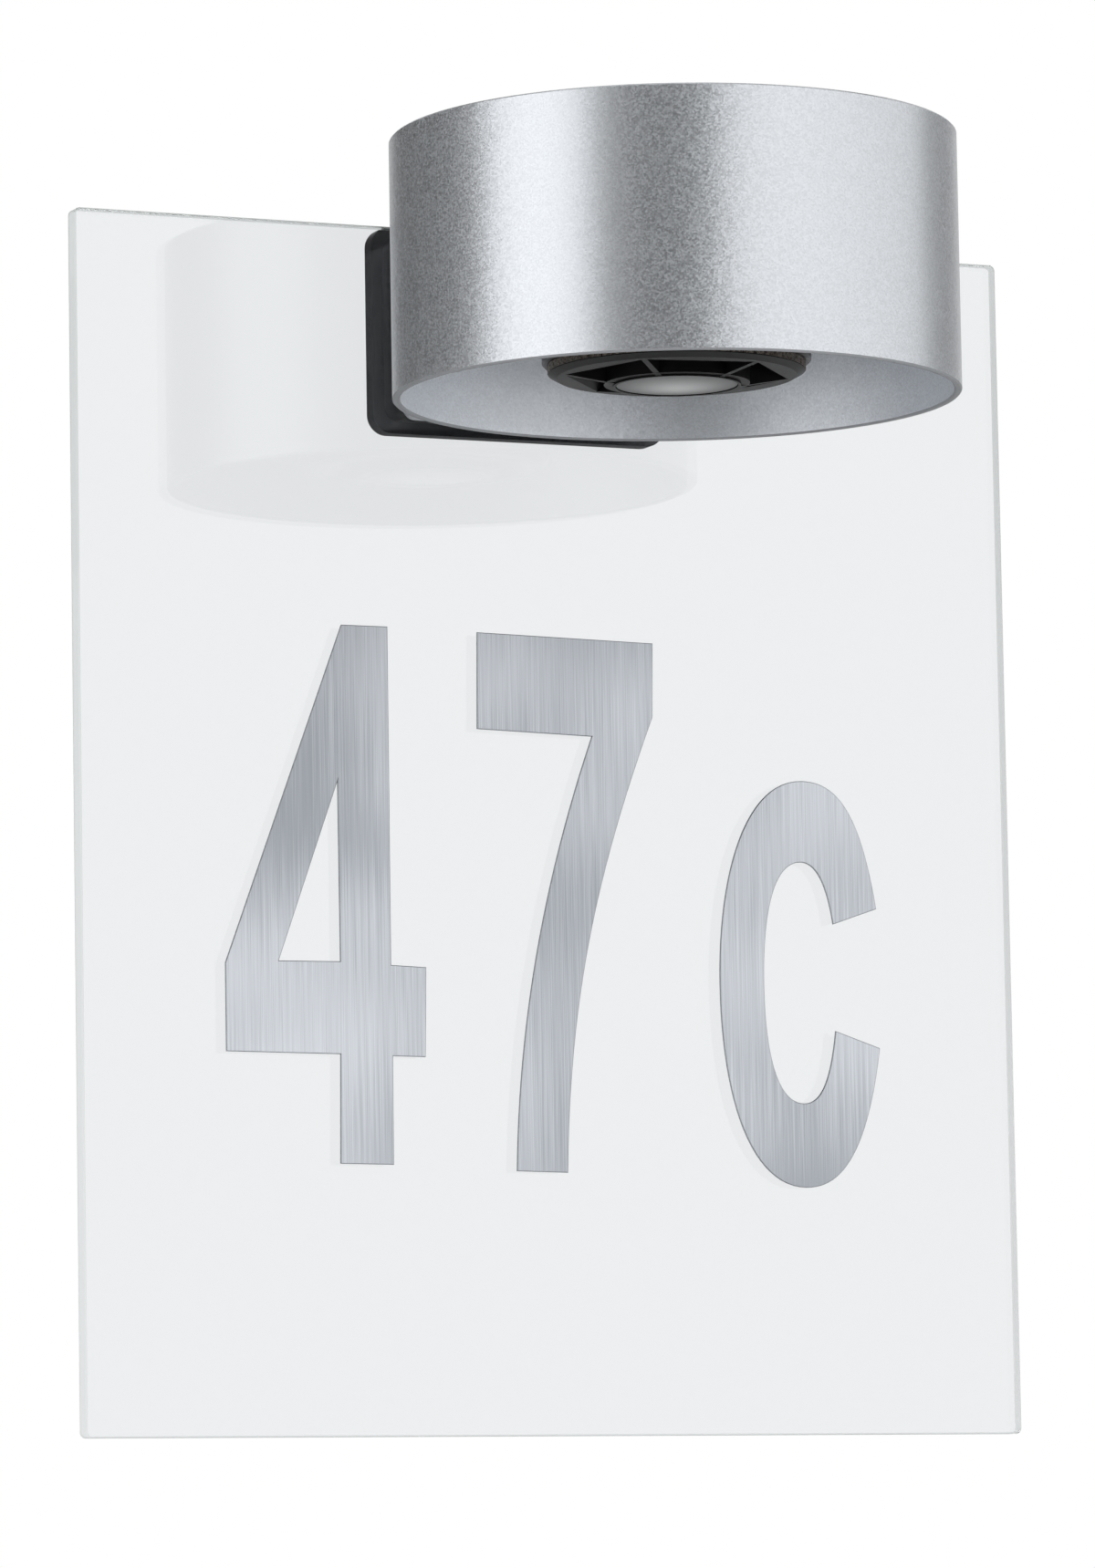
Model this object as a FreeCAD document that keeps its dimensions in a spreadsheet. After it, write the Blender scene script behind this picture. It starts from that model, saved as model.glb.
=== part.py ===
import FreeCAD, Part
import Sketcher
import math
import os
import re

from FreeCAD import Placement, Rotation, Vector

# Outdoor wall light with a clear number plate. Millimetres.
# Origin: centre of the wall bracket's back face, on the wall.
# +X is to the right seen from in front, +Y goes into the wall, +Z is up.

os.makedirs("parts", exist_ok=True)
doc = FreeCAD.newDocument("WallLight")

# Driving sizes
SIZES = [
    ("plate_width", 200, "clear number plate, side to side"),
    ("plate_height", 238, "clear number plate, top to bottom"),
    ("plate_thick", 4, "clear number plate, thickness"),
    ("plate_corner", 1.2, "radius of the plate's corners"),
    ("plate_edge", 0.3, "polished chamfer round the plate's faces"),
    ("plate_rise", 17.9, "plate's top edge above the bracket's centre"),
    ("bracket_width", 63.4, "wall bracket, side to side"),
    ("bracket_height", 41.6, "wall bracket, top to bottom"),
    ("bracket_thick", 3.4, "wall bracket, thickness"),
    ("bracket_corner", 4, "radius of the bracket's corners"),
    ("wall_hole_space", 44, "distance between the two wall screws"),
    ("wall_hole", 4.6, "diameter of the holes for the wall screws"),
    ("gasket_inset", 1.6, "bracket's edge to the gasket's groove"),
    ("gasket_width", 3, "width of the wall gasket's cord"),
    ("gasket_depth", 1.2, "depth of the wall gasket's groove"),
    ("cable_bore", 8.5, "bore of the grommet, for the mains cable"),
    ("cable_margin", 9.1, "cable entry above the housing's lower edge"),
    ("grommet_wall", 1.5, "wall of the grommet's barrel"),
    ("grommet_flange", 1, "how far the grommet's flange stands out"),
    ("grommet_lip", 1.2, "thickness of the grommet's flange"),
    ("lug_space", 30, "distance between the bracket's two lugs"),
    ("lug_gap", 0.2, "lug to the housing's bottom wall"),
    ("lug_width", 7, "width of a lug"),
    ("lug_height", 6, "height of a lug"),
    ("lug_depth", 6.6, "how far a lug stands out of the bracket"),
    ("housing_width", 58.6, "rear housing, side to side"),
    ("housing_height", 36.7, "rear housing, top to bottom"),
    ("housing_depth", 11.9, "rear housing, from bracket to rear seal"),
    ("housing_corner", 3, "radius of the housing's corners"),
    ("housing_wall", 1.8, "side walls of the housing"),
    ("housing_front", 2, "front wall of the housing"),
    ("window_width", 16, "wire window, side to side"),
    ("window_height", 9.6, "wire window, top to bottom"),
    ("window_corner", 2, "radius of the wire window's corners"),
    ("window_margin", 2.95, "wire window's edge below the housing's upper edge"),
    ("seal_thick", 0.6, "rear and front seal of the plate"),
    ("seal_inset", 0.8, "seal's edge inside the housing's outline"),
    ("saddle_screw_side", 6.5, "saddle screws inside the housing's sides"),
    ("saddle_screw_end", 7.3, "saddle screws inside the housing's top and bottom"),
    ("saddle_screw", 4, "diameter of a saddle screw"),
    ("saddle_screw_bite", 6.6, "how far a saddle screw goes into the saddle"),
    ("screw_play", 0.25, "clearance round a screw, each side"),
    ("bore_play", 0.05, "clearance round a screw in its thread, each side"),
    ("bore_spare", 0.4, "depth left under a screw's end"),
    ("saddle_width", 64, "saddle, side to side"),
    ("saddle_height", 37.25, "saddle, top to bottom"),
    ("saddle_drop", 20.65, "saddle's lower edge below the bracket's centre"),
    ("saddle_corner", 2.6, "radius of the saddle's corners"),
    ("saddle_wall", 2.4, "walls of the saddle"),
    ("saddle_blunt", 1.5, "depth of the blunt edge beside the drum"),
    ("boss_wall", 1.6, "wall round a screw bore in the saddle"),
    ("boss_floor", 0.8, "material behind a drum screw's bore"),
    ("seat_gap", 0.15, "saddle to drum"),
    ("drum_radius", 54.5, "outer radius of the drum"),
    ("drum_height", 50, "height of the drum"),
    ("drum_wall", 1.5, "wall of the drum"),
    ("drum_edge", 0.3, "chamfer on the drum's edges"),
    ("drum_reach", 60.2, "drum's axis in front of the plate"),
    ("drum_drop", 23.8, "drum's lower rim below the bracket's centre"),
    ("drum_screw", 4, "diameter of a drum screw"),
    ("drum_screw_angle", 15, "angle of a drum screw from the middle"),
    ("drum_screw_bite", 4.6, "how far a drum screw goes into the saddle"),
    ("drum_screw_drop", 2, "drum screws below the bracket's centre"),
    ("ledge_width", 6.5, "ledge under the top cover, width"),
    ("ledge_thick", 2, "ledge under the top cover, thickness"),
    ("cover_thick", 3.6, "top cover"),
    ("cover_sink", 0.8, "top cover below the drum's top rim"),
    ("cover_play", 0.2, "clearance round the top cover"),
    ("cover_edge", 0.5, "chamfer round the top cover"),
    ("cover_seal", 0.5, "seals under the top cover"),
    ("cover_screw", 3, "diameter of the cover's and the cup's screws"),
    ("cover_screw_bite", 2.2, "how far those screws go into the cover"),
    ("cup_radius", 25.8, "outer radius of the lamp cup"),
    ("cup_wall", 1.6, "wall of the lamp cup's lower half"),
    ("cup_step", 1.5, "inner step that the heat sink seats on"),
    ("cup_roof", 2, "closed top of the lamp cup"),
    ("cup_edge", 0.4, "chamfer on the cup's lower edge"),
    ("cup_screw_ring", 16, "radius of the ring of cup screws"),
    ("face_recess", 3.85, "bezel's face above the drum's lower rim"),
    ("bezel_radius", 24.6, "outer radius of the bezel"),
    ("bezel_flange", 1, "height of the bezel's rim"),
    ("bezel_slope", 1.6, "width of the slope round the bezel's face"),
    ("bezel_bevel", 0.85, "height of that slope"),
    ("bezel_spigot", 23.7, "radius of the bezel's spigot"),
    ("bezel_height", 6, "bezel, from its face to its back"),
    ("bezel_roof", 1.5, "bezel's back wall"),
    ("bezel_angle", -11, "angle of the first rib from the X axis"),
    ("recess_radius", 22, "corner radius of the hexagon at the face"),
    ("recess_waist", 15.6, "corner radius of the hexagon at its bottom"),
    ("rib_thick", 1.2, "thickness of a rib"),
    ("rib_drop", 1.6, "how far a rib drops below the face at the hub"),
    ("hub_radius", 14, "outer radius of the lens hub"),
    ("hub_drop", 1.35, "lens hub below the bezel's face"),
    ("lens_radius", 12.74, "radius of the lens's rim"),
    ("lens_play", 0.15, "clearance round the lens"),
    ("lens_lip", 1, "width of the lip that holds the lens"),
    ("lip_radius", 12.3, "outer radius of that lip, below the hub"),
    ("lip_drop", 1.78, "lip's end below the bezel's face"),
    ("lens_proud", 0.3, "how far the lens's dome starts inside the lip"),
    ("lip_thick", 0.5, "thickness of that lip"),
    ("lens_rim", 1.5, "thickness of the lens's rim"),
    ("lens_dome", 100, "radius of the lens's domed face"),
    ("lens_throat", 5.8, "radius of the lens at its upper end"),
    ("lens_shoulder", 9.4, "radius of the lens above its rim"),
    ("lens_cone", 4.2, "height of the lens above its rim"),
    ("lens_seal_wall", 1, "wall of the sleeve above the lens"),
    ("ring_radius", 24.75, "outer radius of the fluted ring"),
    ("ring_bore", 23.85, "inner radius of the fluted ring"),
    ("ring_height", 1.45, "height of the fluted ring"),
    ("ring_gap", 0.1, "fluted ring to lamp cup"),
    ("flute_radius", 0.42, "radius of a flute"),
    ("board_radius", 20.5, "LED board"),
    ("board_thick", 1.6, "LED board and driver board"),
    ("emitter_side", 9, "side of the LED emitter's base"),
    ("emitter_base", 0.5, "thickness of the LED emitter's base"),
    ("emitter_radius", 3.6, "radius of the LED emitter's dome"),
    ("emitter_dome", 0.4, "height of the LED emitter's dome"),
    ("sink_height", 14.2, "heat sink"),
    ("sink_base", 3, "heat sink's base plate"),
    ("sink_core", 11, "radius of the heat sink's core"),
    ("sink_gap", 0.3, "heat sink to lamp cup"),
    ("fin_thick", 1.2, "thickness of a cooling fin"),
    ("pillar_height", 5, "spacers under the driver board"),
    ("pillar_radius", 2.2, "radius of a spacer"),
    ("pillar_ring", 8, "radius of the ring of spacers"),
    ("driver_radius", 21, "driver board"),
    ("transformer_width", 15, "transformer, side to side"),
    ("transformer_length", 12, "transformer, front to back"),
    ("transformer_height", 9, "transformer, height"),
    ("transformer_shift", 9, "transformer in front of the drum's axis"),
    ("core_band", 4, "width of the transformer's ferrite band"),
    ("core_stand", 0.8, "how far the ferrite band stands out"),
    ("capacitor_radius", 4, "capacitor"),
    ("capacitor_height", 9.5, "capacitor, height"),
    ("capacitor_shift", 14, "capacitor beside the drum's axis"),
    ("header_width", 8, "wire header on the driver board, side to side"),
    ("header_length", 6, "wire header, front to back"),
    ("header_height", 4.4, "wire header, height"),
    ("header_gap", 2.1, "conduit's end to the wire header"),
    ("conduit_radius", 4, "outer radius of the wire conduit"),
    ("conduit_wall", 0.8, "wall of the wire conduit"),
    ("conduit_play", 0.1, "clearance round the conduit"),
    ("conduit_collar", 2, "how far the conduit's collar stands out"),
    ("collar_thick", 1.5, "thickness of the conduit's collar"),
    ("collar_gap", 0.6, "conduit's collar to the drum's wall"),
    ("conduit_inset", 0.4, "conduit's end inside the lamp cup's wall"),
    ("conduit_poke", 2, "how far the conduit passes through the drum's wall"),
    ("gland_wall", 2, "wall of the conduit's seal at the lamp cup"),
    ("gland_length", 2.5, "length of the conduit's seal"),
    ("block_width", 17, "terminal block, side to side"),
    ("block_height", 9.6, "terminal block, top to bottom"),
    ("block_depth", 6.8, "terminal block, front to back"),
    ("block_gap", 3, "terminal block's top below the leads' level"),
    ("pole_space", 5, "distance between the terminal block's poles"),
    ("cage_radius", 1.7, "outer radius of a clamping cage"),
    ("cage_bore", 1.15, "bore of a clamping cage"),
    ("cage_inset", 0.4, "cage's end inside the block"),
    ("terminal_screw", 2.4, "diameter of a terminal screw"),
    ("terminal_screw_inset", 2.3, "terminal screw to the block's end"),
    ("terminal_screw_sink", 0.3, "terminal screw's head below the block's face"),
    ("lead_radius", 1, "outer radius of a lead"),
    ("lead_space", 1.3, "leads in the conduit, from its axis"),
    ("lead_bend", 2.6, "bend radius of a lead's centre line"),
    ("lead_tail", 4.1, "how far a lead reaches past the conduit"),
    ("lead_bite", 3, "how far a lead goes into its cage"),
    ("lead_turn", 1.1, "where the earth lead turns aside, in front of the saddle's back"),
    ("lead_cross", 0.9, "where the other leads have come together, behind the saddle's back"),
    ("earth_span", 15, "earth screw beside the middle"),
    ("earth_screw", 3, "diameter of the earth screw"),
    ("earth_bite", 1.8, "how far the earth screw goes into the saddle"),
    ("earth_pad", 3.4, "radius of the earth screw's pad in the saddle"),
    ("earth_lift", 0.3, "pad's face behind the saddle's curved wall"),
    ("tag_radius", 3.2, "radius of the earth tag's ring"),
    ("tag_thick", 0.8, "thickness of the earth tag's ring"),
    ("tongue_length", 3, "how far the tag's tongue stands out of the ring"),
    ("tongue_width", 2.4, "width of the tag's tongue"),
    ("tongue_thick", 0.5, "thickness of the tag's tongue"),
    ("lock_screw", 3, "diameter of a locking screw"),
    ("lock_screw_bite", 4.5, "how far a locking screw goes into a lug"),
    ("overrun", 1, "how far a cutting shape passes a face"),
]

# Places that follow from the driving sizes. Depths count forward from the wall,
# heights up from the bracket's centre.
PLACES = [
    ("lead_rise", "housing_height / 2 - window_margin - window_height / 2", "wire window and conduit"),
    ("cable_drop", "housing_height / 2 - cable_margin", "cable entry below the centre"),
    ("saddle_screw_span", "housing_width - 2 * saddle_screw_side", "side to side"),
    ("saddle_screw_rise", "housing_height - 2 * saddle_screw_end", "top to bottom"),
    ("block_drop", "block_height + block_gap - lead_rise", "block's lower edge below the centre"),
    ("housing_inner", "housing_depth - housing_front", "depth inside the housing"),
    ("plate_back", "bracket_thick + housing_depth + seal_thick", ""),
    ("plate_front", "plate_back + plate_thick", ""),
    ("saddle_back", "plate_front + seal_thick", ""),
    ("drum_axis", "plate_front + drum_reach", ""),
    ("seat_radius", "drum_radius + seat_gap", ""),
    ("saddle_depth", "drum_axis - saddle_back - saddle_blunt"
     " - sqrt(seat_radius ^ 2 - (saddle_width / 2) ^ 2)", ""),
    ("drum_bore", "drum_radius - drum_wall", ""),
    ("cover_low", "drum_height - cover_sink - cover_thick", "above the drum's rim"),
    ("ledge_top", "cover_low - cover_seal", "above the drum's rim"),
    ("cover_radius", "drum_bore - cover_play", ""),
    ("ring_low", "face_recess + bezel_flange", "above the drum's rim"),
    ("cup_low", "ring_low + ring_height + ring_gap", "above the drum's rim"),
    ("cup_top", "cover_low - cover_seal", "above the drum's rim"),
    ("cup_bore", "cup_radius - cup_wall", ""),
    ("board_low", "face_recess + bezel_height", "above the drum's rim"),
    ("sink_low", "board_low + board_thick", "above the drum's rim"),
    ("sink_top", "sink_low + sink_height", "above the drum's rim"),
    ("driver_low", "sink_top + pillar_height", "above the drum's rim"),
    ("driver_top", "driver_low + board_thick", "above the drum's rim"),
    ("lead_height", "drum_drop + lead_rise", "above the drum's rim"),
    ("lens_bore", "lens_radius + lens_play", ""),
    ("lip_bore", "lens_radius - lens_lip", ""),
    ("lens_low", "lip_thick - lip_drop", "above the bezel's face"),
    ("lens_top", "lens_low + lens_rim", "above the bezel's face"),
    ("dome_radius", "lip_bore - lens_play", ""),
    ("dome_edge", "lens_low - lens_proud", "above the bezel's face"),
    ("dome_low", "dome_edge - lens_dome + sqrt(lens_dome ^ 2 - dome_radius ^ 2)", ""),
    ("screw_run", "housing_front + 2 * seal_thick + plate_thick + saddle_screw_bite",
     "saddle screw under its head"),
]
HEAD_WIDTH_SHARE = 1.75
HEAD_HEIGHT_SHARE = 0.6
SOCKET_SHARE = 0.62
SOCKET_DEPTH_SHARE = 0.5
HEAD_TOP_SHARE = 0.9

# Counts
FIN_COUNT = 24
RIB_COUNT = 6
FLUTE_COUNT = 60
FLUTE_SIDES = 4

sizes = doc.addObject("Spreadsheet::Sheet", "Sizes")
for row, (alias, number, note) in enumerate(SIZES, start=1):
    sizes.set(f"A{row}", alias)
    sizes.set(f"B{row}", str(number))
    sizes.setAlias(f"B{row}", alias)
    sizes.set(f"C{row}", note)
OWNER = {alias: f"Sizes.{alias}" for alias, _, _ in SIZES}
doc.recompute()


def full(text):
    """Write an expression's short names in full, with their sheet's name."""
    return re.sub(r"[a-z_][a-z0-9_]*", lambda word: OWNER.get(word.group(), word.group()), text)


places = doc.addObject("Spreadsheet::Sheet", "Places")
for row, (alias, formula, note) in enumerate(PLACES, start=1):
    places.set(f"A{row}", alias)
    places.set(f"B{row}", "=" + full(formula))
    places.setAlias(f"B{row}", alias)
    places.set(f"C{row}", note)
    OWNER[alias] = f"Places.{alias}"
doc.recompute()


def value(text):
    """Work out an expression in the sheets' names as a plain number."""
    result = places.evalExpression(full(text).replace("Places.", ""))
    return float(getattr(result, "Value", result))


def bind(item, **rules):
    """Bind properties of an object to expressions; x, y and z mean its place."""
    paths = {"x": "Placement.Base.x", "y": "Placement.Base.y", "z": "Placement.Base.z"}
    for name, rule in rules.items():
        item.setExpression(paths.get(name, name), full(rule))


def new_body(label, x="0", y="0", z="0", turn="0"):
    """Start a body at a place, turned about the upright axis."""
    body = doc.addObject("PartDesign::Body", label)
    body.Label = label
    body.Placement = Placement(Vector(), Rotation(Vector(0, 0, 1), value(turn)))
    bind(body, x=x, y=y, z=z)
    return body


def new_sketch(body, name, plane="XZ_Plane", lift="0"):
    """Start a sketch on one of the body's own origin planes, lifted along its normal."""
    sketch = body.newObject("Sketcher::SketchObject", f"{body.Name}_{name}")
    support = [item for item in body.Origin.OriginFeatures if item.Role == plane]
    sketch.AttachmentSupport = [(support[0], "")]
    sketch.MapMode = "FlatFace"
    if lift != "0":
        sketch.setExpression("AttachmentOffset.Base.z", full(lift))
    return sketch


def limit(sketch, kind, first, second, rule=None):
    """Add one constraint, with its size bound to an expression if it has one."""
    if rule is None:
        sketch.addConstraint(Sketcher.Constraint(kind, *first, *second))
        return
    index = sketch.addConstraint(Sketcher.Constraint(kind, *first, *second, value(rule)))
    sketch.setExpression(f"Constraints[{index}]", full(rule))


def pin_point(sketch, line, end, x, y):
    """Hold a point at a place given by two expressions; zero is on the axis."""
    for kind, rule, axis in (("DistanceX", x, -2), ("DistanceY", y, -1)):
        if rule == "0":
            sketch.addConstraint(Sketcher.Constraint("PointOnObject", line, end, axis))
        else:
            limit(sketch, kind, (-1, 1), (line, end), rule)


def outline(sketch, corners, arcs=None):
    """Draw a closed outline through corners; arcs gives a side its radius and bulge."""
    arcs = arcs or {}
    spots = [Vector(value(x), value(y), 0) for x, y in corners]
    first = sketch.GeometryCount
    ends = []
    for side, start in enumerate(spots):
        stop = spots[(side + 1) % len(spots)]
        if side not in arcs:
            sketch.addGeometry(Part.LineSegment(start, stop), False)
            ends.append((1, 2))
            continue
        rule, bulge = arcs[side]
        half = (stop - start) * 0.5
        sagitta = value(rule) - math.sqrt(value(rule) ** 2 - half.Length ** 2)
        crown = start + half + Vector(half.y, -half.x, 0).normalize() * sagitta * bulge
        if bulge > 0:
            sketch.addGeometry(Part.Arc(start, crown, stop), False)
            ends.append((1, 2))
        else:
            sketch.addGeometry(Part.Arc(stop, crown, start), False)
            ends.append((2, 1))
    for side, (x, y) in enumerate(corners):
        after = (side + 1) % len(spots)
        limit(sketch, "Coincident", (first + side, ends[side][1]), (first + after, ends[after][0]))
        pin_point(sketch, first + side, ends[side][0], x, y)
    for side, (rule, _) in arcs.items():
        limit(sketch, "Radius", (first + side,), (), rule)


def rectangle(sketch, width, height, x="0", y="0"):
    """Draw a rectangle about a centre."""
    left, right = f"{x} - ({width}) / 2", f"{x} + ({width}) / 2"
    low, high = f"{y} - ({height}) / 2", f"{y} + ({height}) / 2"
    outline(sketch, [(left, low), (right, low), (right, high), (left, high)])


def circle(sketch, radius, x="0", y="0"):
    """Draw a circle about a centre."""
    spot = Vector(value(x), value(y), 0)
    index = sketch.addGeometry(Part.Circle(spot, Vector(0, 0, 1), value(radius)), False)
    pin_point(sketch, index, 3, x, y)
    limit(sketch, "Radius", (index,), (), radius)


def polygon(sketch, sides, radius, x="0"):
    """Draw a regular polygon about a centre on the X axis, its first corner on that axis."""
    steps = [360 / sides * side for side in range(sides)]
    outline(sketch, [(f"{x} + ({radius}) * cos({step})", f"({radius}) * sin({step})") for step in steps])


def feature(body, kind, sketch, name, **rules):
    """Add a feature that works from a sketch, with its sizes bound."""
    item = body.newObject(f"PartDesign::{kind}", f"{body.Name}_{name}")
    item.Profile = sketch
    sketch.Visibility = False
    bind(item, **rules)
    return item


def pad(body, sketch, length, back=False, both=False, name="pad"):
    """Pad a sketch along its normal, backwards, or half each way."""
    item = feature(body, "Pad", sketch, name, Length=length)
    item.Reversed = back
    item.Midplane = both
    doc.recompute()
    return item


def pocket(body, sketch, depth=None, back=False, name="pocket"):
    """Cut a sketch into the body; with no depth it goes through, both ways."""
    before = body.Shape.Volume
    item = feature(body, "Pocket", sketch, name)
    if depth is None:
        item.Type = "ThroughAll"
        item.Midplane = True
    else:
        bind(item, Length=depth)
        item.Reversed = back
    doc.recompute()
    if not body.Shape.Volume < before:
        raise ValueError(f"{item.Name} cuts nothing")
    return item


def turned(body, sketch, name="turned"):
    """Turn a sketch a full circle about its own upright axis."""
    item = feature(body, "Revolution", sketch, name)
    item.ReferenceAxis = (sketch, ["V_Axis"])
    item.Angle = 360
    doc.recompute()
    return item


def round_about(body, source, count, sketch, name="pattern"):
    """Repeat a feature in a full circle about the normal of its sketch's plane."""
    item = body.newObject("PartDesign::PolarPattern", f"{body.Name}_{name}")
    item.Originals = [source]
    item.Axis = (sketch, ["N_Axis"])
    item.Angle = 360
    item.Occurrences = count
    body.Tip = item
    doc.recompute()
    return item


def soften(body, source, kind, size, wanted, name="edge"):
    """Fillet or chamfer the edges that the test wanted picks."""
    picked = [f"Edge{index}" for index, edge in enumerate(source.Shape.Edges, start=1) if wanted(edge)]
    item = body.newObject(f"PartDesign::{kind}", f"{body.Name}_{name}")
    item.Base = (source, picked)
    bind(item, **{"Radius" if kind == "Fillet" else "Size": size})
    doc.recompute()
    return item


def along(axis):
    """Make a test for straight edges that run along X, Y or Z."""
    def test(edge):
        if edge.Curve.TypeId != "Part::GeomLine":
            return False
        step = edge.Vertexes[-1].Point - edge.Vertexes[0].Point
        return abs(abs(step.dot(axis)) - step.Length) < 1e-6
    return test


def rounded_plate(body, width, height, length, corner, lift="0", name="base"):
    """Pad an upright rectangle forward from the wall and round its corners."""
    sketch = new_sketch(body, f"{name}_outline")
    rectangle(sketch, width, height, y=lift)
    block = pad(body, sketch, length, name=name)
    return soften(body, block, "Fillet", corner, along(Vector(0, 1, 0)), name=f"{name}_corners")


def primitive(kind, label, **rules):
    """Add a Part primitive with its sizes and place bound."""
    item = doc.addObject(f"Part::{kind}", label)
    bind(item, **rules)
    return item


def forward_cylinder(label, radius, length, x="0", y="0", z="0"):
    """Add a cylinder that runs forward, away from the wall."""
    item = primitive("Cylinder", label, Radius=radius, Height=length)
    item.Placement = Placement(Vector(), Rotation(Vector(1, 0, 0), 90))
    bind(item, x=x, y=y, z=z)
    return item


def joined(label, items):
    """Fuse several objects."""
    item = doc.addObject("Part::MultiFuse", label)
    item.Shapes = items
    return item


def cut(label, base, tool):
    """Cut one object from another."""
    item = doc.addObject("Part::Cut", label)
    item.Base, item.Tool = base, tool
    return item


def group(label, items):
    """Put alike pieces together as one sub-part of separate solids."""
    item = doc.addObject("Part::Compound", label)
    item.Links = items
    return item


subparts = []


def keep(item, label=None):
    """Name a finished sub-part and put it on the list."""
    item.Label = label or item.Name
    subparts.append(item)
    return item


# Wall bracket: a plate on the wall with two screw holes, the cable entry, a gasket groove and two lugs
bracket = new_body("wall_bracket")
rounded_plate(bracket, "bracket_width", "bracket_height", "bracket_thick", "bracket_corner")
LUG_CENTRE = "-housing_height / 2 + housing_wall + lug_gap + lug_height / 2"
lugs = new_sketch(bracket, "lugs", lift="bracket_thick")
for side in ("-lug_space / 2", "lug_space / 2"):
    rectangle(lugs, "lug_width", "lug_height", x=side, y=LUG_CENTRE)
pad(bracket, lugs, "lug_depth", name="lugs_pad")
holes = new_sketch(bracket, "holes")
for side in ("-wall_hole_space / 2", "wall_hole_space / 2"):
    circle(holes, "wall_hole / 2", x=side)
circle(holes, "cable_bore / 2 + grommet_wall + bore_play", y="-cable_drop")
pocket(bracket, holes, name="holes_cut")
GROOVE_WIDTH = "bracket_width - 2 * gasket_inset"
GROOVE_HEIGHT = "bracket_height - 2 * gasket_inset"


def gasket_ring(sketch):
    """Draw the two nested outlines that the gasket and its groove share."""
    rectangle(sketch, GROOVE_WIDTH, GROOVE_HEIGHT)
    rectangle(sketch, f"{GROOVE_WIDTH} - 2 * gasket_width", f"{GROOVE_HEIGHT} - 2 * gasket_width")


groove = new_sketch(bracket, "groove")
gasket_ring(groove)
pocket(bracket, groove, "gasket_depth", back=True, name="groove_cut")
lug_bores = new_sketch(bracket, "lug_bores", "XY_Plane", f"{LUG_CENTRE} - lug_height / 2")
for side in ("-lug_space / 2", "lug_space / 2"):
    circle(lug_bores, "lock_screw / 2 + bore_play", x=side, y="-bracket_thick - lug_depth / 2")
pocket(bracket, lug_bores, "lock_screw_bite + bore_spare", back=True, name="lug_bores_cut")
keep(bracket)

# Wall gasket: a foam ring in the bracket's groove, flush with the wall
gasket = new_body("wall_gasket")
gasket_outline = new_sketch(gasket, "ring")
gasket_ring(gasket_outline)
pad(gasket, gasket_outline, "gasket_depth")
keep(gasket)

# Cable grommet: a rubber sleeve with a flange inside the housing
grommet = new_body("cable_grommet", z="-cable_drop")
grommet_profile = new_sketch(grommet, "profile", "XY_Plane")
outline(grommet_profile, [
    ("cable_bore / 2", "0"),
    ("cable_bore / 2 + grommet_wall", "0"),
    ("cable_bore / 2 + grommet_wall", "-bracket_thick"),
    ("cable_bore / 2 + grommet_wall + grommet_flange", "-bracket_thick"),
    ("cable_bore / 2 + grommet_wall + grommet_flange", "-bracket_thick - grommet_lip"),
    ("cable_bore / 2", "-bracket_thick - grommet_lip"),
])
turned(grommet, grommet_profile)
keep(grommet)

# Terminal block: three clamping cages in a plastic block, screws from the front
POLES = ("-pole_space", "0", "pole_space")
BLOCK_MIDDLE = "block_height / 2 - block_drop"
block = new_body("terminal_block", y="-bracket_thick")
block_outline = new_sketch(block, "outline")
rectangle(block_outline, "block_width", "block_height", y=BLOCK_MIDDLE)
pad(block, block_outline, "block_depth")
cage_holes = new_sketch(block, "cage_holes", "XY_Plane")
for pole in POLES:
    circle(cage_holes, "cage_radius + bore_play", x=pole, y="-block_depth / 2")
pocket(block, cage_holes, name="cage_holes_cut")
screw_holes = new_sketch(block, "screw_holes", lift="block_depth")
SCREW_ROWS = ("terminal_screw_inset - block_drop", "block_height - block_drop - terminal_screw_inset")
for pole in POLES:
    for level in SCREW_ROWS:
        circle(screw_holes, "terminal_screw / 2 + bore_play", x=pole, y=level)
pocket(block, screw_holes, "block_depth / 2", name="screw_holes_cut")
keep(block)

cages, grubs = [], []
for pole in POLES:
    cage = new_body("cage", x=pole, y="-bracket_thick - block_depth / 2", z="cage_inset - block_drop")
    cage_ring = new_sketch(cage, "ring", "XY_Plane")
    circle(cage_ring, "cage_radius")
    circle(cage_ring, "cage_bore")
    pad(cage, cage_ring, "block_height - 2 * cage_inset")
    cages.append(cage)
    for level in SCREW_ROWS:
        grubs.append(forward_cylinder(
            "grub", "terminal_screw / 2", "block_depth / 2 - cage_radius - bore_play - terminal_screw_sink",
            x=pole, y="-bracket_thick - block_depth / 2 - cage_radius - bore_play", z=level))
keep(group("terminal_cages", cages))
keep(group("terminal_screws", grubs))


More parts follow.
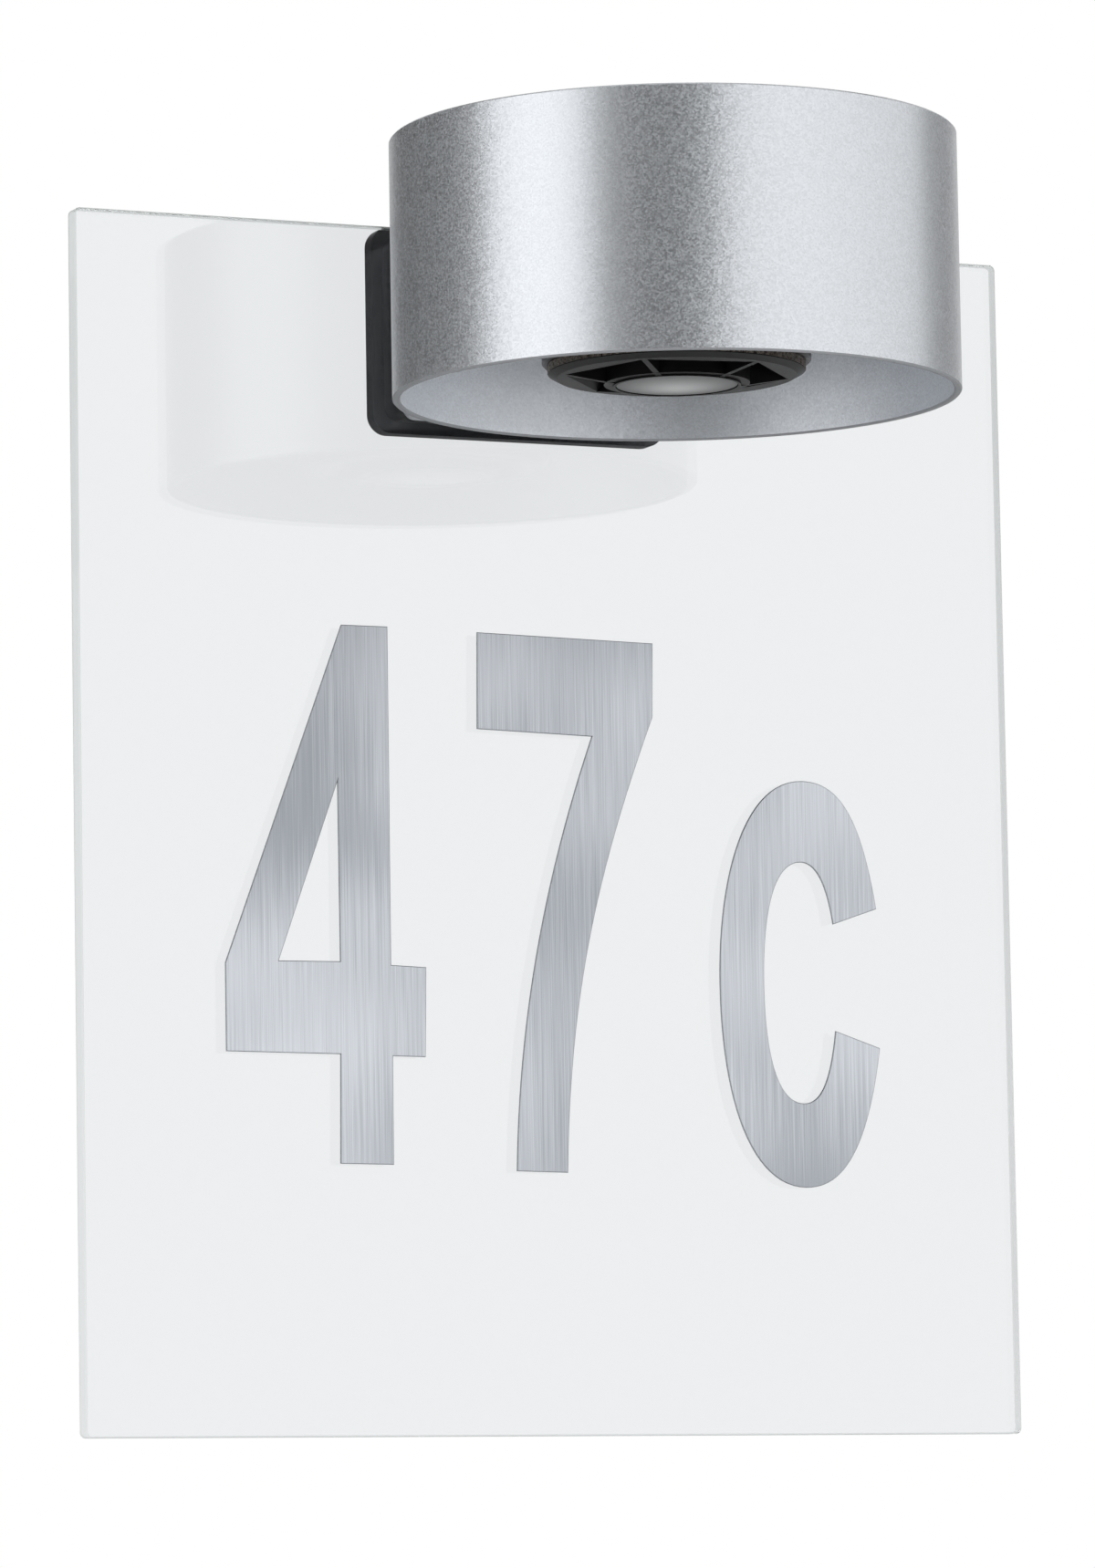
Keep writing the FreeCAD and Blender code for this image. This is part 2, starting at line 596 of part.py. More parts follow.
def screw(label, thread, length, direction, x, y, z, sunk=False):
    """Make a socket screw whose shank runs from its place along a direction."""
    shank = primitive("Cylinder", "shank", Radius=f"{thread} / 2", Height=length)
    wide = f"{thread} / 2 * {HEAD_WIDTH_SHARE}"
    if sunk:
        head = primitive("Cone", "head", Radius1=wide, Radius2=f"{thread} / 2",
                         Height=f"{wide} - {thread} / 2")
        top = "0"
    else:
        top = f"-{thread} * {HEAD_HEIGHT_SHARE}"
        head = primitive("Cone", "head", Radius1=f"{wide} * {HEAD_TOP_SHARE}", Radius2=wide,
                         Height=f"{thread} * {HEAD_HEIGHT_SHARE}", z=top)
    socket = primitive("Prism", "socket", Circumradius=f"{thread} * {SOCKET_SHARE}",
                       Height=f"{thread} * {SOCKET_DEPTH_SHARE} + overrun", z=f"{top} - overrun")
    item = cut(label, joined("blank", [shank, head]), socket)
    item.Placement = Placement(Vector(), Rotation(Vector(0, 0, 1), direction))
    bind(item, x=x, y=y, z=z)
    return item


FORWARD, UPWARD = Vector(0, -1, 0), Vector(0, 0, 1)
SCREW_CORNERS = [(f"{side} * saddle_screw_span / 2", f"{level} * saddle_screw_rise / 2")
                 for side in (-1, 1) for level in (-1, 1)]


def window_and_holes(body):
    """Cut the wire window and the four screw holes that plate, seals and housing share."""
    window = new_sketch(body, "window")
    rectangle(window, "window_width", "window_height", y="lead_rise")
    opening = pocket(body, window, name="window_cut")
    corners = along(Vector(0, 1, 0))
    reach = value("window_width / 2") + 1e-3
    soften(body, opening, "Fillet", "window_corner",
           lambda edge: corners(edge) and abs(edge.Vertexes[0].X) < reach, name="window_corners")
    bores = new_sketch(body, "bores")
    for side, level in SCREW_CORNERS:
        circle(bores, "saddle_screw / 2 + screw_play", x=side, y=level)
    pocket(body, bores, name="bores_cut")


# Rear housing: a black box, open to the bracket, that carries the plate
housing = new_body("housing_box", y="-bracket_thick")
rounded_plate(housing, "housing_width", "housing_height", "housing_depth", "housing_corner")
inside = new_sketch(housing, "inside")
rectangle(inside, "housing_width - 2 * housing_wall", "housing_height - 2 * housing_wall")
pocket(housing, inside, "housing_inner", back=True, name="inside_cut")
window_and_holes(housing)
LOCK_DEPTH = "-bracket_thick - lug_depth / 2"
lock_tools, locks = [], []
for side in ("-lug_space / 2", "lug_space / 2"):
    wide = f"lock_screw / 2 * {HEAD_WIDTH_SHARE} + screw_play"
    lock_tools.append(primitive(
        "Cone", "sink", Radius1=wide, Radius2="lock_screw / 2 + screw_play",
        Height=f"{wide} - lock_screw / 2 - screw_play", x=side, y=LOCK_DEPTH, z="-housing_height / 2"))
    lock_tools.append(primitive(
        "Cylinder", "bore", Radius="lock_screw / 2 + screw_play", Height="housing_wall + overrun",
        x=side, y=LOCK_DEPTH, z="-housing_height / 2"))
    locks.append(screw("lock", "lock_screw", "housing_wall + lug_gap + lock_screw_bite", UPWARD,
                       side, LOCK_DEPTH, "-housing_height / 2", sunk=True))
keep(cut("rear_housing", housing, joined("lock_bores", lock_tools)))
keep(group("locking_screws", locks))

# Rear seal: a flat rubber sheet between the housing and the plate
rear_seal = new_body("rear_seal", y="-bracket_thick - housing_depth")
rounded_plate(rear_seal, "housing_width - 2 * seal_inset", "housing_height - 2 * seal_inset",
              "seal_thick", "housing_corner - seal_inset")
window_and_holes(rear_seal)
keep(rear_seal)

# Number plate: clear acrylic with polished edges
plate = new_body("number_plate", y="-plate_back")
plate_block = rounded_plate(plate, "plate_width", "plate_height", "plate_thick", "plate_corner",
                            lift="plate_rise - plate_height / 2")
soften(plate, plate_block, "Chamfer", "plate_edge",
       lambda edge: abs(edge.Vertexes[0].Y - edge.Vertexes[-1].Y) < 1e-6, name="polish")
window_and_holes(plate)
keep(plate)

# Front seal
SADDLE_MIDDLE = "saddle_height / 2 - saddle_drop"
front_seal = new_body("front_seal", y="-plate_front")
rounded_plate(front_seal, "saddle_width - 2 * seal_inset", "saddle_height - 2 * seal_inset",
              "seal_thick", "saddle_corner - seal_inset", lift=SADDLE_MIDDLE)
window_and_holes(front_seal)
keep(front_seal)


def place(item, direction, x="0", y="0", z="0"):
    """Turn an object's upright axis to a direction and bind its place."""
    item.Placement = Placement(Vector(), Rotation(Vector(0, 0, 1), direction))
    bind(item, x=x, y=y, z=z)
    return item


def from_drum_axis(angle, reach, z):
    """Give the place and the direction at an angle from the wall's side of the drum."""
    turn = math.radians(value(angle))
    spot = {"x": f"({reach}) * sin({angle})", "y": f"-drum_axis + ({reach}) * cos({angle})", "z": z}
    return Vector(math.sin(turn), math.cos(turn), 0), spot


# Saddle: a hollow casting on the plate, its front cut to the drum
saddle_block = new_body("saddle_block", y="-saddle_back")
rounded_plate(saddle_block, "saddle_width", "saddle_height", "saddle_depth", "saddle_corner",
              lift=SADDLE_MIDDLE)
drum_clear = primitive("Cylinder", "drum_clear", Radius="seat_radius", Height="drum_height + 2 * overrun",
                       y="-drum_axis", z="-drum_drop - overrun")
wall_keep = primitive("Cylinder", "wall_keep", Radius="seat_radius + saddle_wall",
                      Height="drum_height + 2 * overrun", y="-drum_axis", z="-drum_drop - overrun")
hollow = primitive("Box", "hollow", Length="saddle_width - 2 * saddle_wall",
                   Height="saddle_height - 2 * saddle_wall", Width="saddle_depth + overrun",
                   x="saddle_wall - saddle_width / 2", y="-saddle_back - saddle_depth",
                   z="saddle_wall - saddle_drop")
shell = cut("saddle_shell", saddle_block, cut("saddle_hollow", hollow, wall_keep))
EARTH_SEAT = "-drum_axis + sqrt((seat_radius + saddle_wall) ^ 2 - (earth_span - earth_pad) ^ 2) + earth_lift"
bosses = [forward_cylinder("earth_boss", "earth_pad", "earth_pad", x="earth_span", y=EARTH_SEAT,
                           z="lead_rise")]
bores = [
    forward_cylinder("earth_bore", "earth_screw / 2 + bore_play", "earth_bite + bore_spare",
                     x="earth_span", y=EARTH_SEAT, z="lead_rise"),
    forward_cylinder("conduit_way", "conduit_radius + conduit_play", "saddle_depth",
                     y="-saddle_back", z="lead_rise"),
]
for side, level in SCREW_CORNERS:
    bosses.append(forward_cylinder("boss", "saddle_screw / 2 + bore_play + boss_wall", "saddle_depth",
                                   x=side, y="-saddle_back", z=level))
    bores.append(forward_cylinder("bore", "saddle_screw / 2 + bore_play", "saddle_screw_bite + bore_spare",
                                  x=side, y="-saddle_back", z=level))
drum_holes, drum_locks = [], []
HEAD_SEAT = f"sqrt(drum_bore ^ 2 - (drum_screw / 2 * {HEAD_WIDTH_SHARE}) ^ 2)"
for angle in ("-drum_screw_angle", "drum_screw_angle"):
    direction, spot = from_drum_axis(angle, "seat_radius - seat_gap", "-drum_screw_drop")
    boss = primitive("Cylinder", "drum_boss", Radius="drum_screw / 2 + bore_play + boss_wall",
                     Height="seat_gap + drum_screw_bite + bore_spare + boss_floor")
    bosses.append(place(boss, direction, **spot))
    bore = primitive("Cylinder", "drum_bore_tool", Radius="drum_screw / 2 + bore_play",
                     Height="seat_gap + drum_screw_bite + bore_spare")
    bores.append(place(bore, direction, **spot))
    direction, spot = from_drum_axis(angle, "drum_bore - overrun", "-drum_screw_drop")
    hole = primitive("Cylinder", "drum_hole", Radius="drum_screw / 2 + screw_play",
                     Height="drum_wall + 2 * overrun")
    drum_holes.append(place(hole, direction, **spot))
    direction, spot = from_drum_axis(angle, HEAD_SEAT, "-drum_screw_drop")
    drum_locks.append(screw("drum_lock", "drum_screw", f"seat_radius + drum_screw_bite - {HEAD_SEAT}",
                            direction, **spot))
keep(cut("saddle", joined("saddle_blank", [shell] + bosses), joined("saddle_cuts", [drum_clear] + bores)))
keep(group("saddle_screws", [
    screw("saddle_lock", "saddle_screw", "screw_run", FORWARD, side, "-bracket_thick - housing_inner", level)
    for side, level in SCREW_CORNERS]))

# Drum: a short open tube with a ledge for its top cover
drum = new_body("drum_tube", y="-drum_axis", z="-drum_drop")
drum_profile = new_sketch(drum, "profile")
outline(drum_profile, [
    ("drum_bore + drum_edge", "0"),
    ("drum_radius - drum_edge", "0"),
    ("drum_radius", "drum_edge"),
    ("drum_radius", "drum_height - drum_edge"),
    ("drum_radius - drum_edge", "drum_height"),
    ("drum_bore + drum_edge", "drum_height"),
    ("drum_bore", "drum_height - drum_edge"),
    ("drum_bore", "ledge_top"),
    ("drum_bore - ledge_width", "ledge_top"),
    ("drum_bore - ledge_width", "ledge_top - ledge_thick"),
    ("drum_bore", "ledge_top - ledge_thick"),
    ("drum_bore", "drum_edge"),
])
turned(drum, drum_profile)
LEDGE_RING = "drum_bore - ledge_width / 2"
LEDGE_ANGLES = (45, 135, 225, 315)
CUP_ANGLES = (90, 210, 330)


def ring_of_circles(sketch, radius, ring, angles):
    """Draw one circle at each angle on a ring."""
    for angle in angles:
        spot = [f"({ring}) * {name}({angle})" for name in ("cos", "sin")]
        circle(sketch, radius, *["0" if abs(value(text)) < 1e-9 else text for text in spot])


ledge_holes = new_sketch(drum, "ledge_holes", "XY_Plane", "ledge_top")
ring_of_circles(ledge_holes, "cover_screw / 2 + screw_play", LEDGE_RING, LEDGE_ANGLES)
pocket(drum, ledge_holes, "ledge_thick", name="ledge_holes_cut")
drum_holes.append(forward_cylinder("drum_wire_hole", "conduit_radius + conduit_play",
                                   "drum_wall + 2 * overrun",
                                   y="-drum_axis + drum_radius + overrun", z="lead_rise"))
keep(cut("drum_shell", drum, joined("drum_cuts", drum_holes)))
keep(group("drum_screws", drum_locks))

# Top cover, its seal and its screws
cover = new_body("top_cover", y="-drum_axis", z="cover_low - drum_drop")
cover_profile = new_sketch(cover, "profile")
outline(cover_profile, [
    ("0", "0"),
    ("cover_radius", "0"),
    ("cover_radius", "cover_thick - cover_edge"),
    ("cover_radius - cover_edge", "cover_thick"),
    ("0", "cover_thick"),
])
turned(cover, cover_profile)
cover_bores = new_sketch(cover, "bores", "XY_Plane")
ring_of_circles(cover_bores, "cover_screw / 2 + bore_play", LEDGE_RING, LEDGE_ANGLES)
ring_of_circles(cover_bores, "cover_screw / 2 + bore_play", "cup_screw_ring", CUP_ANGLES)
pocket(cover, cover_bores, "cover_screw_bite + bore_spare", back=True, name="bores_cut")
keep(cover)


def washer(label, radius, bore, thick, z, ring, angles):
    """Make a flat ring round the drum's axis with a ring of screw holes."""
    body = new_body(label, y="-drum_axis", z=z)
    sketch = new_sketch(body, "ring", "XY_Plane")
    circle(sketch, radius)
    circle(sketch, bore)
    ring_of_circles(sketch, "cover_screw / 2 + screw_play", ring, angles)
    pad(body, sketch, thick)
    return keep(body)


def upward_screws(label, ring, angles, z, length):
    """Make a ring of screws that point up, round the drum's axis."""
    return keep(group(label, [
        screw("upward", "cover_screw", length, UPWARD, f"({ring}) * cos({angle})",
              f"-drum_axis + ({ring}) * sin({angle})", z)
        for angle in angles]))


washer("cover_seal", "cover_radius", "drum_bore - ledge_width", "cover_seal", "ledge_top - drum_drop",
       LEDGE_RING, LEDGE_ANGLES)
upward_screws("cover_screws", LEDGE_RING, LEDGE_ANGLES, "ledge_top - ledge_thick - drum_drop",
              "ledge_thick + cover_seal + cover_screw_bite")

# Lamp cup: it hangs from the top cover and holds the LED unit
cup = new_body("lamp_cup", y="-drum_axis", z="-drum_drop")
cup_profile = new_sketch(cup, "profile")
outline(cup_profile, [
    ("cup_bore", "cup_low"),
    ("cup_radius - cup_edge", "cup_low"),
    ("cup_radius", "cup_low + cup_edge"),
    ("cup_radius", "cup_top"),
    ("0", "cup_top"),
    ("0", "cup_top - cup_roof"),
    ("cup_bore - cup_step", "cup_top - cup_roof"),
    ("cup_bore - cup_step", "sink_top"),
    ("cup_bore", "sink_top"),
])
turned(cup, cup_profile)
cup_holes = new_sketch(cup, "holes", "XY_Plane", "cup_top")
ring_of_circles(cup_holes, "cover_screw / 2 + screw_play", "cup_screw_ring", CUP_ANGLES)
pocket(cup, cup_holes, "cup_roof", name="holes_cut")
cup_way = new_sketch(cup, "way")
circle(cup_way, "conduit_radius + conduit_play", y="lead_height")
pocket(cup, cup_way, "cup_radius + overrun", name="way_cut")
keep(cup)
washer("cup_seal", "cup_radius - seal_inset", "cup_screw_ring / 2", "cover_seal", "cup_top - drum_drop",
       "cup_screw_ring", CUP_ANGLES)
upward_screws("cup_screws", "cup_screw_ring", CUP_ANGLES, "cup_top - cup_roof - drum_drop",
              "cup_roof + cover_seal + cover_screw_bite")

# Wire conduit from the lamp cup to the saddle, and its seal at the cup
CONDUIT_START = "-drum_axis + cup_bore - cup_step - conduit_inset"
CONDUIT_STOP = "-drum_axis + drum_radius + conduit_poke"
COLLAR_FACE = "-drum_axis + drum_bore - collar_gap"
conduit = new_body("wire_conduit", z="lead_rise")
conduit_profile = new_sketch(conduit, "profile", "XY_Plane")
outline(conduit_profile, [
    ("conduit_radius - conduit_wall", CONDUIT_START),
    ("conduit_radius", CONDUIT_START),
    ("conduit_radius", f"{COLLAR_FACE} - collar_thick"),
    ("conduit_radius + conduit_collar", f"{COLLAR_FACE} - collar_thick"),
    ("conduit_radius + conduit_collar", COLLAR_FACE),
    ("conduit_radius", COLLAR_FACE),
    ("conduit_radius", CONDUIT_STOP),
    ("conduit_radius - conduit_wall", CONDUIT_STOP),
])
turned(conduit, conduit_profile)
keep(conduit)
GLAND_FACE = "-drum_axis + cup_radius + gland_length"
gland = forward_cylinder("gland", "conduit_radius + gland_wall", "gland_length + overrun",
                         y=GLAND_FACE, z="lead_rise")
gland_way = forward_cylinder("gland_way", "conduit_radius", "gland_length + overrun",
                             y=GLAND_FACE, z="lead_rise")
cup_keep = primitive("Cylinder", "cup_keep", Radius="cup_radius", Height="cup_top",
                     y="-drum_axis", z="-drum_drop")
keep(cut("conduit_seal", gland, joined("gland_cuts", [gland_way, cup_keep])))


def lead(label, points):
    """Make a round lead along straight runs that are joined by bends."""
    spots = [Vector(*(value(number) for number in point)) for point in points]
    radius, start, edges = value("lead_bend"), spots[0], []
    for before, corner, after in zip(spots, spots[1:], spots[2:]):
        back, on = (before - corner).normalize(), (after - corner).normalize()
        half = back.getAngle(on) / 2
        enter, leave = (corner + way * (radius / math.tan(half)) for way in (back, on))
        middle = corner + (back + on).normalize() * (radius / math.sin(half) - radius)
        edges += [Part.makeLine(start, enter), Part.Arc(enter, middle, leave).toShape()]
        start = leave
    edges.append(Part.makeLine(start, spots[-1]))
    ring = Part.makeCircle(value("lead_radius"), spots[0], spots[1] - spots[0])
    item = doc.addObject("Part::Feature", label)
    item.Shape = Part.Wire(edges).makePipeShell([Part.Wire([ring])], True, True)
    item.Placement = Placement()
    return keep(item)


# Leads from the terminal block: two to the driver board, the earth to the saddle
BLOCK_AXIS = "-bracket_thick - block_depth / 2"
LEAD_START = "block_height - block_drop - lead_bite"
LEAD_STOP = f"{CONDUIT_START} - lead_tail"
for label, pole, side in (("live_lead", "-pole_space", "-lead_space"), ("neutral_lead", "0", "lead_space")):
    lead(label, [
        (pole, BLOCK_AXIS, LEAD_START),
        (pole, BLOCK_AXIS, "lead_rise"),
        (side, "lead_cross - saddle_back", "lead_rise"),
        (side, LEAD_STOP, "lead_rise"),
    ])
EARTH_HEAD = f"(earth_screw / 2 * {HEAD_WIDTH_SHARE} + screw_play)"
lead("earth_lead", [
    ("pole_space", BLOCK_AXIS, LEAD_START),
    ("pole_space", BLOCK_AXIS, "lead_rise"),
    ("pole_space", "-saddle_back - lead_turn", "lead_rise"),
    (f"earth_span - {EARTH_HEAD}", "-saddle_back - lead_turn", "lead_rise"),
])
ring_tag = forward_cylinder("tag_ring", "tag_radius", "tag_thick", x="earth_span",
                            y=f"{EARTH_SEAT} + tag_thick", z="lead_rise")
tongue = primitive("Box", "tag_tongue", Length=f"tongue_length + tag_radius - {EARTH_HEAD}",
                   Width="tongue_thick", Height="tongue_width",
                   x="earth_span - tag_radius - tongue_length", y=f"{EARTH_SEAT} + tag_thick",
                   z="lead_rise - tongue_width / 2")
tag_hole = forward_cylinder("tag_hole", "earth_screw / 2 + bore_play", "tag_thick", x="earth_span",
                            y=f"{EARTH_SEAT} + tag_thick", z="lead_rise")
keep(cut("earth_tag", joined("tag_blank", [ring_tag, tongue]), tag_hole))
keep(screw("earth_bolt", "earth_screw", "tag_thick + earth_bite", FORWARD, "earth_span",
           f"{EARTH_SEAT} + tag_thick", "lead_rise"))

# Heat sink: a base plate, a core and upright fins
sink = new_body("heat_sink", y="-drum_axis", z="sink_low - drum_drop")
sink_base = new_sketch(sink, "base", "XY_Plane")
circle(sink_base, "cup_bore - sink_gap")
pad(sink, sink_base, "sink_base", name="base_pad")
sink_core = new_sketch(sink, "core", "XY_Plane")
circle(sink_core, "sink_core")
pad(sink, sink_core, "sink_height", name="core_pad")
fin = new_sketch(sink, "fin", "XY_Plane")
rectangle(fin, "cup_bore - sink_gap - sink_core + overrun", "fin_thick",
          x="(cup_bore - sink_gap + sink_core - overrun) / 2")
fin_pad = pad(sink, fin, "sink_height", name="fin_pad")
round_about(sink, fin_pad, FIN_COUNT, fin)
keep(sink)


def disc(label, radius, thick, z):
    """Make a plain disc round the drum's axis."""
    return keep(primitive("Cylinder", label, Radius=radius, Height=thick, y="-drum_axis", z=z))


disc("led_board", "board_radius", "board_thick", "board_low - drum_drop")
emitter = primitive("Box", "emitter_plate", Length="emitter_side", Width="emitter_side",
                    Height="emitter_base", x="-emitter_side / 2", y="-drum_axis - emitter_side / 2",
                    z="board_low - emitter_base - drum_drop")
emitter_dome = primitive("Cylinder", "emitter_disc", Radius="emitter_radius", Height="emitter_dome",
                         y="-drum_axis", z="board_low - emitter_base - emitter_dome - drum_drop")
keep(joined("led_emitter", [emitter, emitter_dome]))

# Lens: a frosted dome, a rim that the hub's lip holds, and a cone up to the emitter
lens = new_body("lens", y="-drum_axis", z="face_recess - drum_drop")
lens_profile = new_sketch(lens, "profile")
outline(lens_profile, [
    ("0", "dome_low"),
    ("dome_radius", "dome_edge"),
    ("dome_radius", "lens_low"),
    ("lens_radius", "lens_low"),
    ("lens_radius", "lens_top"),
    ("lens_shoulder", "lens_top"),
    ("lens_throat", "lens_top + lens_cone"),
    ("0", "lens_top + lens_cone"),
], arcs={0: ("lens_dome", 1)})
turned(lens, lens_profile)
keep(lens)
sleeve = new_body("lens_seal", y="-drum_axis", z="face_recess + lens_top - drum_drop")
sleeve_ring = new_sketch(sleeve, "ring", "XY_Plane")
circle(sleeve_ring, "lens_radius")
circle(sleeve_ring, "lens_radius - lens_seal_wall")
pad(sleeve, sleeve_ring, "bezel_height - lens_top")
keep(sleeve)

# Bezel: a rim and a spigot, a hexagonal recess with sloping sides, a hub for the lens and six ribs
bezel = new_body("bezel", y="-drum_axis", z="face_recess - drum_drop", turn="bezel_angle")
ROOF_LOW = "bezel_height - bezel_roof"
bezel_profile = new_sketch(bezel, "profile")
outline(bezel_profile, [
    ("lens_bore", "0"),
    ("bezel_radius - bezel_slope", "0"),
    ("bezel_radius", "bezel_bevel"),
    ("bezel_radius", "bezel_flange"),
    ("bezel_spigot", "bezel_flange"),
    ("bezel_spigot", "bezel_height"),
    ("lens_bore", "bezel_height"),
])
turned(bezel, bezel_profile)
mouth = new_sketch(bezel, "mouth", "XY_Plane")
polygon(mouth, RIB_COUNT, "recess_radius")
waist = new_sketch(bezel, "waist", "XY_Plane", ROOF_LOW)
polygon(waist, RIB_COUNT, "recess_waist")
recess = feature(bezel, "SubtractiveLoft", mouth, "recess")
recess.Sections = [waist]
recess.Ruled = True
doc.recompute()
hub = new_sketch(bezel, "hub")
outline(hub, [
    ("lip_bore", "-lip_drop"),
    ("lip_radius", "-lip_drop"),
    ("lip_radius", "-hub_drop"),
    ("hub_radius", "-hub_drop"),
    ("hub_radius", ROOF_LOW),
    ("lens_bore", ROOF_LOW),
    ("lens_bore", "lens_low"),
    ("lip_bore", "lens_low"),
])
turned(bezel, hub, name="hub_turned")
rib = new_sketch(bezel, "rib")
outline(rib, [
    ("lip_radius - lens_play", "-rib_drop"),
    ("recess_radius", "0"),
    ("recess_waist", ROOF_LOW),
    ("lens_bore + lens_play", ROOF_LOW),
    ("lens_bore + lens_play", "lens_low"),
    ("lip_radius - lens_play", "lens_low"),
])
rib_pad = pad(bezel, rib, "rib_thick", both=True, name="rib_pad")
round_about(bezel, rib_pad, RIB_COUNT, mouth)
keep(bezel)

# Fluted ring between the bezel's rim and the lamp cup
fluted = new_body("fluted_ring", y="-drum_axis", z="ring_low - drum_drop")
fluted_sketch = new_sketch(fluted, "ring", "XY_Plane")
circle(fluted_sketch, "ring_radius")
circle(fluted_sketch, "ring_bore")
pad(fluted, fluted_sketch, "ring_height")
flute = new_sketch(fluted, "flute", "XY_Plane")
polygon(flute, FLUTE_SIDES, "flute_radius", x="ring_radius")
flute_cut = pocket(fluted, flute, "ring_height", back=True, name="flute_cut")
round_about(fluted, flute_cut, FLUTE_COUNT, flute)
keep(fluted)

# Driver board with its parts, on three spacers above the heat sink
disc("driver_board", "driver_radius", "board_thick", "driver_low - drum_drop")
BOARD_TOP = "driver_top - drum_drop"


def centred_box(label, width, length, height, y, z=BOARD_TOP):
    """Make a box that is centred side to side, with its middle at the depth y."""
    return primitive("Box", label, Length=width, Width=length, Height=height,
                     x=f"-({width}) / 2", y=f"{y} - ({length}) / 2", z=z)


COIL_DEPTH = "-drum_axis - transformer_shift"
coil = centred_box("coil", "transformer_width", "transformer_length", "transformer_height", COIL_DEPTH)
band = centred_box("band", "core_band", "transformer_length + 2 * core_stand",
                   "transformer_height + core_stand", COIL_DEPTH)
keep(joined("driver_transformer", [coil, band]))
capacitor = primitive("Cylinder", "driver_capacitor", Radius="capacitor_radius", Height="capacitor_height",
                      x="capacitor_shift", y="-drum_axis", z=BOARD_TOP)
keep(capacitor)
HEADER_FACE = f"{CONDUIT_START} - header_gap"
header_block = centred_box("header_block", "header_width", "header_length", "header_height",
                           f"{HEADER_FACE} - header_length / 2")
header_ways = [forward_cylinder("header_way", "lead_radius + conduit_play", "lead_tail - header_gap",
                                x=side, y=HEADER_FACE, z="lead_rise")
               for side in ("-lead_space", "lead_space")]
keep(cut("driver_header", header_block, joined("header_cuts", header_ways)))
keep(group("board_spacers", [
    primitive("Cylinder", "spacer", Radius="pillar_radius", Height="pillar_height",
              x=f"pillar_ring * cos({angle})", y=f"-drum_axis + pillar_ring * sin({angle})",
              z="sink_top - drum_drop")
    for angle in CUP_ANGLES]))

# Checks before anything is written
doc.recompute()
failed = [f"{item.Name}: {item.getStatusString()}" for item in doc.Objects
          if "Invalid" in item.State or "Error" in item.State]
if failed:
    raise ValueError(f"not valid: {failed}")
for item in subparts:
    if item.Shape.isNull() or not item.Shape.isValid():
        raise ValueError(f"{item.Label} has no valid shape")
for item in subparts:
    item.Shape.exportStep(f"parts/{item.Label}.step")
    box = item.Shape.BoundBox
    print(f"{item.Label:20s} {item.Shape.Volume:10.1f} mm3  x {box.XMin:7.2f} {box.XMax:7.2f}"
          f"  y {box.YMin:8.2f} {box.YMax:7.2f}  z {box.ZMin:8.2f} {box.ZMax:7.2f}")
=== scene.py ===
"""The outdoor wall light: house numbers, finishes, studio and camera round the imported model.

All sizes are in metres, in the frame of the light: the origin is the middle of the wall bracket's
back face, +Y goes into the wall, +Z is up, and the light looks towards -Y.
"""

import logging
import math
from dataclasses import dataclass
from enum import Enum
from typing import Iterable, Optional, Sequence, Union

import bmesh
import bpy
import numpy as np
from mathutils import Matrix, Vector
from mathutils.geometry import tessellate_polygon

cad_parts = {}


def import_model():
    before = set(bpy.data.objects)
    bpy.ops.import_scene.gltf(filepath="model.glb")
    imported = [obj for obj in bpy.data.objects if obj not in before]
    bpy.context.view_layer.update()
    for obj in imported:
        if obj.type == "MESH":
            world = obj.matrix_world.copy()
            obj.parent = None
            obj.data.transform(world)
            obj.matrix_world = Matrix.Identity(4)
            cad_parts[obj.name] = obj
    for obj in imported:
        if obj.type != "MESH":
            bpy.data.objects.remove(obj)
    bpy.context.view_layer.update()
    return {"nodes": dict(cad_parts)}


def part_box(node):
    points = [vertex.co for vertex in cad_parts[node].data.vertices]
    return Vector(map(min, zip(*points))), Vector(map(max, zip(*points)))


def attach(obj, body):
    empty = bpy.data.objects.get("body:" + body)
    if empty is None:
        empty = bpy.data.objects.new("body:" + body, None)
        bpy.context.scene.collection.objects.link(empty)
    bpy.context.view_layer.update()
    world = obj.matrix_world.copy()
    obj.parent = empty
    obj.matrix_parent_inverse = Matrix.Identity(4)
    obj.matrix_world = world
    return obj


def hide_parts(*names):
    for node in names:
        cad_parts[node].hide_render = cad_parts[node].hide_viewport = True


LOG = logging.getLogger("wall_light")
BODY = "root"
MM = 0.001
NOISE_MIDDLE = 0.5
WELD_REACH = 0.001 * MM

Number = Union[float, int, "Signal"]
Pair = tuple[float, float]
Triple = tuple[float, float, float]
Color = Triple

WHITE: Color = (1.0, 1.0, 1.0)


class Sums(Enum):
    """The operations of a Math node that expressions here use."""

    ADD = "ADD"
    SUBTRACT = "SUBTRACT"
    MULTIPLY = "MULTIPLY"
    POWER = "POWER"
    ABSOLUTE = "ABSOLUTE"
    MAXIMUM = "MAXIMUM"
    MINIMUM = "MINIMUM"
    SINE = "SINE"
    ARCTAN2 = "ARCTAN2"


class Turns(Enum):
    """The operations of a Vector Math node that are used here."""

    ADD = "ADD"
    SUBTRACT = "SUBTRACT"
    SCALE = "SCALE"
    NORMALIZE = "NORMALIZE"


